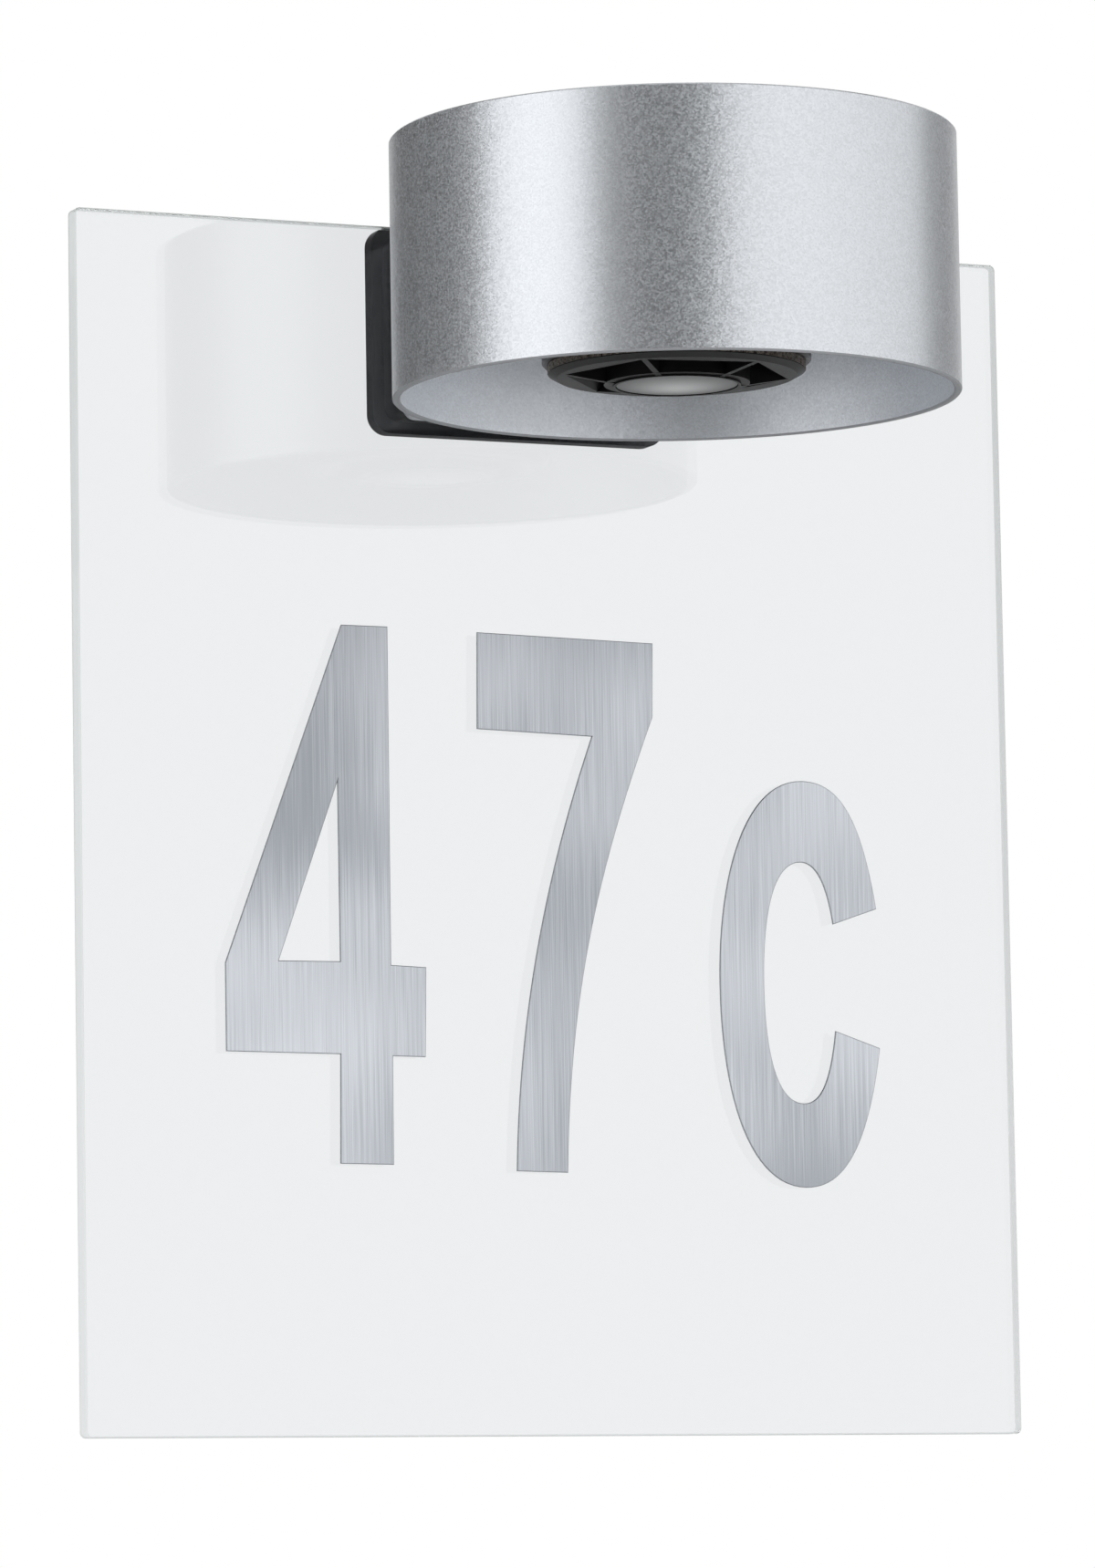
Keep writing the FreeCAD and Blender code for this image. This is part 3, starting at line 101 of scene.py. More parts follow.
@dataclass(frozen=True)
class Signal:
    """One output socket of a node graph, on which Python sums add Math nodes."""

    graph: "Graph"
    socket: Optional[bpy.types.NodeSocket]

    def sum(self, kind: Sums, *others: Number) -> "Signal":
        """Run this signal and the others through one Math node."""
        return self.graph.maths(kind, self, *others)

    def __add__(self, other: Number) -> "Signal":
        """Add a number or a signal."""
        return self.sum(Sums.ADD, other)

    __radd__ = __add__

    def __sub__(self, other: Number) -> "Signal":
        """Take away a number or a signal."""
        return self.sum(Sums.SUBTRACT, other)

    def __rsub__(self, other: Number) -> "Signal":
        """Take this signal away from a number."""
        return self.graph.maths(Sums.SUBTRACT, other, self)

    def __mul__(self, other: Number) -> "Signal":
        """Multiply by a number or a signal."""
        return self.sum(Sums.MULTIPLY, other)

    __rmul__ = __mul__

    def __pow__(self, other: Number) -> "Signal":
        """Raise to a power."""
        return self.sum(Sums.POWER, other)

    def __abs__(self) -> "Signal":
        """Drop the sign."""
        return self.sum(Sums.ABSOLUTE)

    def swing(self, width: float) -> "Signal":
        """Turn noise about its middle into noise about zero, with a width."""
        return (self - NOISE_MIDDLE) * width

    def ramp(self, low: float, high: float, start: float = 0.0, stop: float = 1.0) -> "Signal":
        """Go smoothly from start at low to stop at high, and stay level outside.

        Args:
            low: The value at which the rise begins.
            high: The value at which it ends; it may lie under low.
            start: The result at low.
            stop: The result at high.

        Returns:
            The eased signal.
        """
        if low > high:
            low, high, start, stop = high, low, stop, start
        return self.graph.node(
            "ShaderNodeMapRange",
            {"interpolation_type": "SMOOTHSTEP"},
            {0: self, 1: low, 2: high, 3: start, 4: stop},
        )

    def window(self, low: float, high: float, soft: float) -> "Signal":
        """Be one between low and high, with edges that fade over twice the width soft."""
        return self.ramp(low - soft, low + soft) * self.ramp(high + soft, high - soft)


class Graph:
    """A node tree that is filled through one method."""

    CELL_MIDDLE: Triple = (0.5, 0.5, 0.5)
    CELL_SHIFT: Triple = (0.7, 0.3, 0.1)
    STEEP_POWER: float = 4.0

    def __init__(self, tree: bpy.types.NodeTree) -> None:
        """Empty the tree.

        Args:
            tree: The node tree of a material or of the world.
        """
        self.tree = tree
        tree.nodes.clear()

    def node(self, kind: str, settings: dict, sockets: dict,
             output: Union[int, str] = 0) -> Signal:
        """Add a node.

        Args:
            kind: The node's type.
            settings: The node's own properties, which are set first.
            sockets: Values or signals, by the input's number or name.
            output: The output to give back, by number or name.

        Returns:
            The output as a signal, without a socket if the node has none.
        """
        item = self.tree.nodes.new(kind)
        for name, setting in settings.items():
            setattr(item, name, setting)
        for name, given in sockets.items():
            if isinstance(given, Signal):
                self.tree.links.new(given.socket, item.inputs[name])
            else:
                item.inputs[name].default_value = given
        return Signal(self, item.outputs[output] if len(item.outputs) else None)

    def maths(self, kind: Sums, *values: Number) -> Signal:
        """Add a Math node."""
        return self.node("ShaderNodeMath", {"operation": kind.value}, dict(enumerate(values)))

    def vectors(self, kind: Turns, sockets: dict) -> Signal:
        """Add a Vector Math node."""
        return self.node("ShaderNodeVectorMath", {"operation": kind.value}, sockets)

    def mix(self, share: Number, first: Union[Color, Signal],
            second: Union[Color, Signal]) -> Signal:
        """Blend two colors.

        Args:
            share: How much of the second color there is, from 0 to 1.
            first: A color, or a signal of one.
            second: A color, or a signal of one.

        Returns:
            The blended color.
        """
        start, stop = ((*item, 1.0) if isinstance(item, tuple) else item
                       for item in (first, second))
        return self.node("ShaderNodeMix", {"data_type": "RGBA"}, {0: share, 6: start, 7: stop}, 2)

    def spot(self) -> Signal:
        """Give Object coordinates."""
        return self.node("ShaderNodeTexCoord", {}, {}, "Object")

    def stretched(self, scale: Triple) -> Signal:
        """Give Object coordinates times a scale along each axis."""
        return self.node("ShaderNodeMapping", {}, {"Vector": self.spot(), "Scale": scale})

    def split(self, vector: Signal) -> list[Signal]:
        """Give a vector's three parts."""
        parts = self.node("ShaderNodeSeparateXYZ", {}, {0: vector})
        return [Signal(self, output) for output in parts.socket.node.outputs]

    def height(self) -> Signal:
        """Give the height in the light's frame."""
        return self.split(self.spot())[2]

    def around(self, axis: float) -> Signal:
        """Give the distance from an upright axis in the light's middle plane.

        It is the root of x squared plus the square of y less the axis's own y.

        Args:
            axis: Where the axis lies along Y.

        Returns:
            The distance in metres.
        """
        x, y, _ = self.split(self.spot())
        deep = y - axis
        return (x * x + deep * deep) ** 0.5

    def noise(self, size: float, detail: float = 2.0, rough: float = 0.5,
              where: Optional[Signal] = None) -> Signal:
        """Give cloudy noise.

        Args:
            size: The size of a cloud in metres, or of one unit of where.
            detail: The number of finer layers.
            rough: How strong the finer layers are.
            where: Where to read it; Object coordinates if it is left out.

        Returns:
            Noise about its middle.
        """
        return self.node("ShaderNodeTexNoise", {}, {
            "Vector": where or self.spot(),
            "Scale": 1.0 / size,
            "Detail": detail,
            "Roughness": rough,
        })

    def cells(self, size: float, where: Signal) -> Signal:
        """Give each small cell of a size a random color."""
        sockets = {"Vector": where, "Scale": 1.0 / size}
        return self.node("ShaderNodeTexVoronoi", {}, sockets, "Color")

    def flakes(self, size: float) -> Signal:
        """Give a random number for each small cell, as the flakes of a metallic paint have."""
        return self.split(self.cells(size, self.spot()))[0]

    def tilt(self, size: float, lean: float, steep: float) -> Signal:
        """Lean the surface another way in each small cell.

        The normal is the true normal plus the cell's random vector about zero, times a lean, and
        brought back to length one. The lean is small in most cells, and grows with a high power
        of another random number to its full size in a few.

        Args:
            size: The size of a cell in metres.
            lean: The lean of most cells.
            steep: What the steepest cells have more.

        Returns:
            The leaning normal.
        """
        where = self.spot()
        aside = self.vectors(Turns.SUBTRACT, {0: self.cells(size, where), 1: self.CELL_MIDDLE})
        moved = self.vectors(Turns.ADD, {0: where, 1: self.CELL_SHIFT})
        chance = self.split(self.cells(size, moved))[1]
        share = chance ** self.STEEP_POWER * steep + lean
        aside = self.vectors(Turns.SCALE, {0: aside, 3: share})
        true = self.node("ShaderNodeNewGeometry", {}, {}, "Normal")
        return self.vectors(Turns.NORMALIZE, {0: self.vectors(Turns.ADD, {0: true, 1: aside})})

    def bump(self, height: Signal, depth: float, strength: float) -> Signal:
        """Turn a height signal into a normal."""
        sockets = {"Height": height, "Distance": depth, "Strength": strength}
        return self.node("ShaderNodeBump", {}, sockets, "Normal")

    def surface(self, **sockets: Union[Number, Color, Signal]) -> None:
        """End the graph in one Principled shader.

        Args:
            **sockets: Values or signals by the input's name, with _ for a space; a plain color
                gets its fourth part here.
        """
        named = {name.replace("_", " "): item for name, item in sockets.items()}
        for name, item in named.items():
            if isinstance(item, tuple):
                named[name] = (*item, 1.0)
        shader = self.node("ShaderNodeBsdfPrincipled", {}, named)
        self.node("ShaderNodeOutputMaterial", {}, {"Surface": shader})


@dataclass(frozen=True)
class Finish:
    """A finish that writes its own node graph."""

    name: str

    def write(self, graph: Graph) -> None:
        """Fill the graph; each kind of finish has its own."""
        raise NotImplementedError

    def material(self) -> bpy.types.Material:
        """Make the material once, and give it back each time.

        Returns:
            The material with this finish's name.
        """
        made = bpy.data.materials.get(self.name)
        if made is None:
            made = bpy.data.materials.new(self.name)
            made.use_nodes = True
            self.write(Graph(made.node_tree))
        return made


@dataclass(frozen=True)
class MetallicPaint(Finish):
    """Silver paint with fine flakes that catch the light one by one.

    The tones are shares of the color for the dullest and the palest flake, outside and inside the
    drum; the paler tones inside are painted light on the inner wall. A piece other than the drum
    has no inside and no rim.
    """

    color: Color = (0.55, 0.57, 0.595)
    outer_tones: Pair = (0.88, 1.20)
    # Paler tones for the drum's inside: painted light on its inner wall.
    inner_painted_light_tones: Pair = (1.42, 1.68)
    # Darker color below the rim's height: painted shade on the drum's rim.
    rim_shade_color: Color = (0.30, 0.31, 0.325)
    flake: float = 0.30 * MM
    grain: float = 0.24 * MM
    glint_share: float = 0.8
    lean: float = 0.05
    steep: float = 0.05
    cloud: float = 30 * MM
    roughness: float = 0.33
    grain_rough: float = 0.12
    cloud_rough: float = 0.04
    metal: float = 0.97
    spread: float = 0.32
    axis: float = -80.1 * MM
    inside: float = 0.0
    inside_fade: float = 0.2 * MM
    inside_rough: float = 0.15
    inside_even: float = 0.3
    rim: float = -1.0
    rim_fade: float = 0.05 * MM
    rim_rough: float = 0.25
    rim_plain: float = 0.6

    def tones(self, shares: Pair) -> list[Color]:
        """Scale the color by each share, up to white."""
        return [tuple(min(part * share, 1.0) for part in self.color) for share in shares]

    def write(self, graph: Graph) -> None:
        """Lean each flake its own way, and make some flakes duller and paler than others.

        A duller flake shows up where the paint mirrors a dark place, and hardly where it mirrors
        a bright one. Within the radius inside, round an upright axis, the paint is paler: painted
        light on the drum's inner wall. Below the height rim it is duller, and darker with a
        painted shade.

        Args:
            graph: The material's empty graph.
        """
        glint = graph.flakes(self.flake)
        grain = graph.noise(self.grain)
        cloud = graph.noise(self.cloud)
        inside = graph.around(self.axis).ramp(self.inside, self.inside - self.inside_fade)
        rim = graph.height().ramp(self.rim + self.rim_fade, self.rim)
        tone = glint * self.glint_share + grain * (1.0 - self.glint_share)
        outer = graph.mix(tone, *self.tones(self.outer_tones))
        # Painted light: the inner wall's flakes are paler than the outer ones.
        inner = graph.mix(tone, *self.tones(self.inner_painted_light_tones))
        metal = self.metal - glint * self.spread * (1.0 - inside * self.inside_even)
        rough = self.roughness + inside * self.inside_rough + rim * self.rim_rough
        # The color turns to the rim's painted shade below the rim's height.
        graph.surface(
            Base_Color=graph.mix(rim, graph.mix(inside, outer, inner), self.rim_shade_color),
            Metallic=metal * (1.0 - rim * self.rim_plain),
            Roughness=rough + grain.swing(self.grain_rough) + cloud.swing(self.cloud_rough),
            Normal=graph.tilt(self.flake, self.lean, self.steep),
        )


@dataclass(frozen=True)
class ClearSheet(Finish):
    """Clear cast acrylic, faintly grey."""

    color: Color = (0.81, 0.825, 0.835)
    wipe: float = 25 * MM
    wiped: Pair = (0.35, 0.75)
    haze: float = 0.012
    bend: float = 1.52

    def write(self, graph: Graph) -> None:
        """Let light through, with a trace of haze where hands have wiped the sheet.

        Args:
            graph: The material's empty graph.
        """
        wipes = graph.noise(self.wipe, detail=3.0)
        graph.surface(
            Base_Color=self.color,
            Roughness=wipes.ramp(*self.wiped, 0.0, self.haze),
            IOR=self.bend,
            Transmission_Weight=1.0,
        )


@dataclass(frozen=True)
class SawnEdge(Finish):
    """Frosted edge of the clear sheet, which lets most of the light through without bending it."""

    # Upper and lower are shaded and lit tones of the frosted edge: a painted shade that pales
    # downwards.
    upper: Color = (0.64, 0.67, 0.66)
    lower: Color = (0.78, 0.80, 0.80)
    top: float = 15 * MM
    bottom: float = -215 * MM
    mark: float = 0.5 * MM
    mark_tone: float = 0.12
    mark_rough: float = 0.1
    roughness: float = 0.35
    bend: float = 1.01
    through: float = 0.7

    def write(self, graph: Graph) -> None:
        """Paint a shade on the upper part that pales a little down the sheet, with fine saw marks
        across the edge.

        Args:
            graph: The material's empty graph.
        """
        marks = graph.noise(self.mark)
        # Painted shade: darker at the top of the sheet, paler towards its bottom, plus saw marks.
        tone = graph.height().ramp(self.top, self.bottom) + marks.swing(self.mark_tone)
        graph.surface(
            Base_Color=graph.mix(tone, self.upper, self.lower),
            Roughness=self.roughness + marks.swing(self.mark_rough),
            IOR=self.bend,
            Transmission_Weight=self.through,
        )


@dataclass(frozen=True)
class BrushedFoil(Finish):
    """Metal foil brushed up and down.

    A streak's width and length are those of the fine brush lines, and the broad lines have a
    share of the fine ones' frequency across and along.
    """

    dark: Color = (0.27, 0.288, 0.316)
    light: Color = (0.56, 0.585, 0.62)
    streak: float = 0.18 * MM
    length: float = 34 * MM
    broad: Pair = (0.28, 0.6)
    # The size of the slow change of tone, a painted reflection.
    cloud: float = 45 * MM
    shares: Triple = (0.65, 0.15, 0.6)
    offset: float = 0.20
    span: Pair = (0.25, 0.75)
    metal: float = 0.75
    roughness: float = 0.30
    streak_rough: float = 0.16
    relief: float = 0.02 * MM

    def write(self, graph: Graph) -> None:
        """Stretch noise upright for the brush lines, in two widths, over a slow painted
        reflection.

        The tone is the sum of the fine lines, the broad lines and the slow painted reflection,
        each times its share, less an offset, and eased over the span.

        Args:
            graph: The material's empty graph.
        """
        across, along = 1 / self.streak, 1 / self.length
        lines = graph.stretched((across, 1.0, along))
        fine = graph.noise(1.0, detail=3.0, rough=0.65, where=lines)
        wide, tall = self.broad
        broad = graph.noise(1.0, where=graph.stretched((across * wide, 1.0, along * tall)))
        # Slow noise for a painted reflection over the numerals.
        cloud = graph.noise(self.cloud, detail=1.0)
        parts = [part * share for part, share in zip((fine, broad, cloud), self.shares)]
        tone = (parts[0] + parts[1] + parts[2] - self.offset).ramp(*self.span)
        graph.surface(
            Base_Color=graph.mix(tone, self.dark, self.light),
            Metallic=self.metal,
            Roughness=self.roughness + fine * self.streak_rough,
            Normal=graph.bump(fine, self.relief, strength=0.4),
        )


@dataclass(frozen=True)
class Moulded(Finish):
    """Moulded plastic or rubber with a fine grain and soft wear.

    The wear is a paler tone where slow noise rises over the span worn.
    """

    color: Color
    roughness: float
    grain: float = 0.5 * MM
    relief: float = 0.015 * MM
    gloss: float = 0.3
    # Share of painted light from below on faces that look down.
    painted_underlight: float = 0.0
    downwards: Pair = (-0.80, -0.95)
    cloud: float = 14 * MM
    worn: Pair = (0.3, 0.8)
    worn_pale: float = 1.35
    worn_dust: float = 0.002
    cloud_rough: float = 0.12
    grain_rough: float = 0.08

    def write(self, graph: Graph) -> None:
        """Vary tone and roughness slowly, and roughen the surface with a fine grain.

        Faces that look straight down are paler with painted light from below, by a share that
        eases in as the height part of their normal goes over the span downwards.

        Args:
            graph: The material's empty graph.
        """
        grain = graph.noise(self.grain, detail=3.0)
        cloud = graph.noise(self.cloud)
        pale = tuple(part * self.worn_pale + self.worn_dust for part in self.color)
        color = graph.mix(cloud.ramp(*self.worn), self.color, pale)
        # Painted light: faces that look down are paler, towards white.
        if self.painted_underlight:
            facing = graph.split(graph.node("ShaderNodeNewGeometry", {}, {}, "Normal"))[2]
            color = graph.mix(facing.ramp(*self.downwards, 0.0, self.painted_underlight), color, WHITE)
        rough = self.roughness + cloud.swing(self.cloud_rough) + grain.swing(self.grain_rough)
        graph.surface(
            Base_Color=color,
            Roughness=rough,
            Specular_IOR_Level=self.gloss,
            Normal=graph.bump(grain, self.relief, strength=0.5),
        )


@dataclass(frozen=True)
class BareMetal(Finish):
    """Turned, plated or cast metal without paint."""

    color: Color
    roughness: float
    grain: float = 0.25 * MM
    speckle: float = 0.25
    spotted: Pair = (0.35, 0.65)
    cloud: float = 6 * MM
    cloud_rough: float = 0.15
    relief: float = 0.01 * MM

    def write(self, graph: Graph) -> None:
        """Darken small spots and vary the gloss.

        Args:
            graph: The material's empty graph.
        """
        spots = graph.noise(self.grain, detail=4.0, rough=0.7)
        cloud = graph.noise(self.cloud)
        dark = tuple(part * (1.0 - self.speckle) for part in self.color)
        graph.surface(
            Base_Color=graph.mix(spots.ramp(*self.spotted), dark, self.color),
            Metallic=1.0,
            Roughness=self.roughness + cloud.swing(self.cloud_rough),
            Normal=graph.bump(spots, self.relief, strength=0.4),
        )


@dataclass(frozen=True)
class FrostedLens(Finish):
    """Lens of frosted clear plastic over a dark chamber."""

    # A frosted tone, with painted light in the middle and painted shade at the edge.
    middle: Color = (0.62, 0.63, 0.63)
    edge: Color = (0.20, 0.203, 0.206)
    axis: float = -80.1 * MM
    radius: float = 12.0 * MM
    frost: float = 0.15 * MM
    frost_rough: float = 0.1
    roughness: float = 0.6
    bend: float = 1.49
    gloss: float = 0.25
    through: float = 0.08

    def write(self, graph: Graph) -> None:
        """Let some light through a finely frosted face, with painted light in the middle and
        painted shade at the rim.

        The share of the edge's painted shade eases from none at the middle to all at the radius.

        Args:
            graph: The material's empty graph.
        """
        frost = graph.noise(self.frost)
        # Painted light in the lens's middle turns to painted shade towards its rim.
        outwards = graph.around(self.axis).ramp(0.0, self.radius)
        graph.surface(
            Base_Color=graph.mix(outwards, self.middle, self.edge),
            Roughness=self.roughness + frost.swing(self.frost_rough),
            IOR=self.bend,
            Specular_IOR_Level=self.gloss,
            Transmission_Weight=self.through,
        )


@dataclass(frozen=True)
class CircuitBoard(Finish):
    """Lacquered board with lighter tracks."""

    color: Color = (0.02, 0.10, 0.045)
    track: Color = (0.06, 0.22, 0.10)
    flow: float = 7 * MM
    turns: float = 9.0
    track_edge: Pair = (0.75, 0.9)
    roughness: float = 0.32
    track_gloss: float = 0.08
    relief: float = 0.03 * MM

    def write(self, graph: Graph) -> None:
        """Draw tracks as thin bands where slow noise crosses set levels.

        A band lies where the sine of the noise times the turns comes near one, of either sign.

        Args:
            graph: The material's empty graph.
        """
        flow = graph.noise(self.flow, detail=1.0)
        bands = abs((flow * self.turns).sum(Sums.SINE)).ramp(*self.track_edge)
        graph.surface(
            Base_Color=graph.mix(bands, self.color, self.track),
            Roughness=self.roughness - bands * self.track_gloss,
            Normal=graph.bump(bands, self.relief, strength=0.6),
        )


SILVER = MetallicPaint("silver paint")
SILVER_DRUM = MetallicPaint("silver drum paint", inside=53.6 * MM, rim=-23.52 * MM)
CLEAR = ClearSheet("clear acrylic")
SHEET_EDGE = SawnEdge("sheet edge")
BRUSHED = BrushedFoil("brushed foil")
FOIL_EDGE = BareMetal("foil edge", (0.33, 0.35, 0.37), 0.45)
BLACK = Moulded("black plastic", (0.008, 0.008, 0.009), 0.40, gloss=0.25)
# The bezel's downward faces get a little painted light from below.
BEZEL_BLACK = Moulded("black bezel plastic", (0.002, 0.002, 0.002), 0.38, grain=0.8 * MM,
                      relief=0.01 * MM, gloss=0.08, painted_underlight=0.035)
RUBBER = Moulded("seal rubber", (0.022, 0.022, 0.023), 0.7, grain=0.3 * MM, relief=0.03 * MM)
IVORY = Moulded("ivory plastic", (0.62, 0.60, 0.53), 0.45)
PHOSPHOR = Moulded("emitter yellow", (0.75, 0.52, 0.08), 0.5)
FERRITE = Moulded("ferrite", (0.05, 0.05, 0.055), 0.5)
CAN_BLUE = Moulded("capacitor sleeve", (0.02, 0.04, 0.16), 0.3)
LEAD_BROWN = Moulded("brown lead", (0.16, 0.07, 0.03), 0.4)
LEAD_BLUE = Moulded("blue lead", (0.03, 0.11, 0.42), 0.4)
LEAD_GREEN = Moulded("green lead", (0.10, 0.36, 0.06), 0.4)
CUP_METAL = BareMetal("dark cup metal", (0.10, 0.10, 0.105), 0.42)
BRONZE = BareMetal("speckled bronze", (0.24, 0.21, 0.18), 0.45, grain=0.35 * MM, speckle=0.8)
STEEL = BareMetal("screw steel", (0.62, 0.62, 0.63), 0.28)
BRASS = BareMetal("brass", (0.78, 0.58, 0.28), 0.26)
SINK_METAL = BareMetal("heat sink metal", (0.72, 0.73, 0.74), 0.4)
LENS = FrostedLens("frosted lens")
BOARD = CircuitBoard("circuit board")


def add_mesh(name: str, points: np.ndarray,
             faces: Iterable[Sequence[int]]) -> bpy.types.Object:
    """Put points and faces into a new object of the scene.

    Args:
        name: The object's name.
        points: An array of places, one row each, in metres.
        faces: The corners of each face, by row.

    Returns:
        The new object, at the origin.
    """
    data = bpy.data.meshes.new(name)
    data.from_pydata(points.tolist(), [], [list(face) for face in faces])
    data.validate()
    data.update()
    item = bpy.data.objects.new(name, data)
    bpy.context.scene.collection.objects.link(item)
    return item


def weld(data: bpy.types.Mesh) -> None:
    """Merge the loose triangles of a copied mesh into one skin.

    Args:
        data: The mesh, which is changed.
    """
    work = bmesh.new()
    work.from_mesh(data)
    bmesh.ops.remove_doubles(work, verts=work.verts, dist=WELD_REACH)
    work.to_mesh(data)
    work.free()


def face_outwards(data: bpy.types.Mesh) -> None:
    """Make all the faces of a closed mesh point outwards.

    Args:
        data: The mesh, which is changed.
    """
    work = bmesh.new()
    work.from_mesh(data)
    bmesh.ops.recalc_face_normals(work, faces=work.faces)
    work.to_mesh(data)
    work.free()


@dataclass(frozen=True)
class Stretch:
    """One side of an outline: a straight run, or a curve if it has pull points."""

    stop: Pair
    pulls: tuple[Pair, ...] = ()
    steps: int = 24

    def points(self, start: np.ndarray) -> np.ndarray:
        """Sample the side from start, leaving start itself out.

        The curve is a Bezier curve: the sum of its control points, each weighted by the binomial
        share of t and 1 - t.

        Args:
            start: Where the side begins.

        Returns:
            The points, the last one at the side's end.
        """
        if not self.pulls:
            return np.array([self.stop])
        hold = np.array([start, *self.pulls, self.stop])
        order = len(hold) - 1
        t = np.linspace(0, 1, self.steps + 1)[1:, None]
        index = np.arange(order + 1)
        weight = np.array([math.comb(order, int(k)) for k in index])
        return (weight * t ** index * (1 - t) ** (order - index)) @ hold


@dataclass(frozen=True)
class Outline:
    """A closed outline of straight and curved sides, in millimetres on the plate."""

    start: Pair
    sides: tuple[Stretch, ...]

    def loop(self) -> np.ndarray:
        """Sample the outline once round, without repeating its first point.

        Returns:
            The points, one row each, in millimetres.
        """
        points = [np.array([self.start])]
        for side in self.sides:
            points.append(side.points(points[-1][-1]))
        return np.concatenate(points)


@dataclass(frozen=True)
class Numeral:
    """A flat numeral with a thin dark bevel, on the front of the plate.

    Its first outline is the outer one, and any others are holes.
    """

    name: str
    outlines: tuple[Outline, ...]
    thickness: float = 0.35 * MM
    bevel: float = 0.14 * MM
    lift: float = 0.01 * MM

    @staticmethod
    def inset(loop: np.ndarray, width: float) -> np.ndarray:
        """Move a loop sideways by a width.

        Each point moves along the mean of its two sides' normals, divided by the cosine of half
        the turn between them, so that every side moves by the same width.

        Args:
            loop: The loop's points.
            width: How far it moves inwards, or outwards if it is below zero.

        Returns:
            The moved points.
        """
        ahead = np.roll(loop, -1, axis=0) - loop
        ahead /= np.linalg.norm(ahead, axis=1, keepdims=True)
        normal = np.stack([-ahead[:, 1], ahead[:, 0]], axis=1)
        mean = normal + np.roll(normal, 1, axis=0)
        mean /= np.linalg.norm(mean, axis=1, keepdims=True)
        reach = np.sum(mean * normal, axis=1, keepdims=True)
        x, y = loop.T
        around = np.sum(x * np.roll(y, -1) - y * np.roll(x, -1))
        return loop + mean / reach * width * np.sign(around)

    @staticmethod
    def walls(loops: list[np.ndarray], layers: int) -> list[list[int]]:
        """Join each layer of loops to the next one with four-cornered faces.

        Args:
            loops: The loops of one layer.
            layers: How many layers of them the points hold, one after another.

        Returns:
            The corners of each face.
        """
        ends = np.cumsum([0] + [len(loop) for loop in loops])
        count = ends[-1]
        faces = []
        for layer in range(layers - 1):
            for first, stop in zip(ends[:-1], ends[1:]):
                here = np.arange(first, stop) + layer * count
                after = np.roll(here, -1)
                faces += np.stack([here, after, after + count, here + count], axis=1).tolist()
        return faces

    @staticmethod
    def cap(loops: list[np.ndarray], first: int) -> list[list[int]]:
        """Fill the area between loops with triangles; their first point has the number first."""
        flat = [[Vector((x, z, 0.0)) for x, z in loop] for loop in loops]
        return [[first + corner for corner in face] for face in tessellate_polygon(flat)]

    def build(self, bottom: float, front: float) -> bpy.types.Object:
        """Make the numeral as one closed mesh.

        The front face is the outlines moved inwards, the bevel joins them to the outlines at a
        lower level, and walls and a back face close it towards the plate.

        Args:
            bottom: The height of the plate's lower edge.
            front: The plate's front face, along Y.

        Returns:
            The numeral's object.
        """
        outer = [outline.loop() * MM for outline in self.outlines]
        inner = [self.inset(loop, -self.bevel if index else self.bevel)
                 for index, loop in enumerate(outer)]
        levels = ((inner, self.thickness), (outer, self.thickness - self.bevel), (outer, 0.0))
        layers = []
        for loops, level in levels:
            flat = np.concatenate(loops)
            depth = np.full(len(flat), front - self.lift - level)
            layers.append(np.stack([flat[:, 0], depth, flat[:, 1] + bottom], axis=1))
        points = np.concatenate(layers)
        walls = self.walls(outer, len(layers))
        face = self.cap(inner, 0)
        back = self.cap(outer, len(points) - len(layers[-1]))
        item = add_mesh(self.name, points, walls + face + back)
        item.data.materials.append(BRUSHED.material())
        item.data.materials.append(FOIL_EDGE.material())
        slots = [1] * len(walls) + [0] * len(face) + [1] * len(back)
        item.data.polygons.foreach_set("material_index", slots)
        face_outwards(item.data)
        return item


def straight(*points: Pair) -> tuple[Stretch, ...]:
    """Give one straight side to each point."""
    return tuple(Stretch(point) for point in points)


FOUR = Numeral("numeral_four", (
    Outline((-45.5, 158.3), straight(
        (-70.6, 91.5), (-70.6, 74.3), (-46.8, 74.1), (-47.1, 52.8), (-35.9, 52.7),
        (-35.8, 73.9), (-28.9, 73.8), (-28.5, 91.4), (-35.9, 91.7), (-35.7, 158.3),
    )),
    Outline((-46.7, 127.5), straight((-46.6, 92.2), (-59.5, 92.1))),
))
SEVEN = Numeral("numeral_seven", (
    Outline((-16.6, 157.9), (
        *straight((-16.9, 138.7), (7.8, 138.0)),
        Stretch((-9.8, 51.7), ((-3.5, 108.0), (-9.0, 80.0))),
        *straight((1.1, 51.5)),
        Stretch((21.1, 142.3), ((2.0, 85.0), (8.0, 110.0))),
        *straight((21.4, 157.1)),
    )),
))
LETTER_C = Numeral("letter_c", (
    Outline((69.7, 105.1), (
        Stretch((53.7, 130.5), ((66.6, 124.5), (61.5, 130.5))),
        Stretch((34.8, 89.5), ((41.5, 130.5), (34.8, 112.0))),
        Stretch((53.1, 49.0), ((34.8, 66.0), (41.0, 49.0))),
        Stretch((69.9, 77.1), ((61.5, 49.0), (67.0, 57.5))),
        *straight((60.1, 80.4)),
        Stretch((52.8, 65.8), ((58.8, 70.0), (56.5, 65.8))),
        Stretch((44.5, 89.5), ((46.8, 65.8), (44.5, 76.0))),
        Stretch((53.1, 114.1), ((44.5, 104.0), (47.2, 114.1))),
        Stretch((60.0, 101.8), ((57.0, 114.1), (59.0, 108.5))),
    )),
))


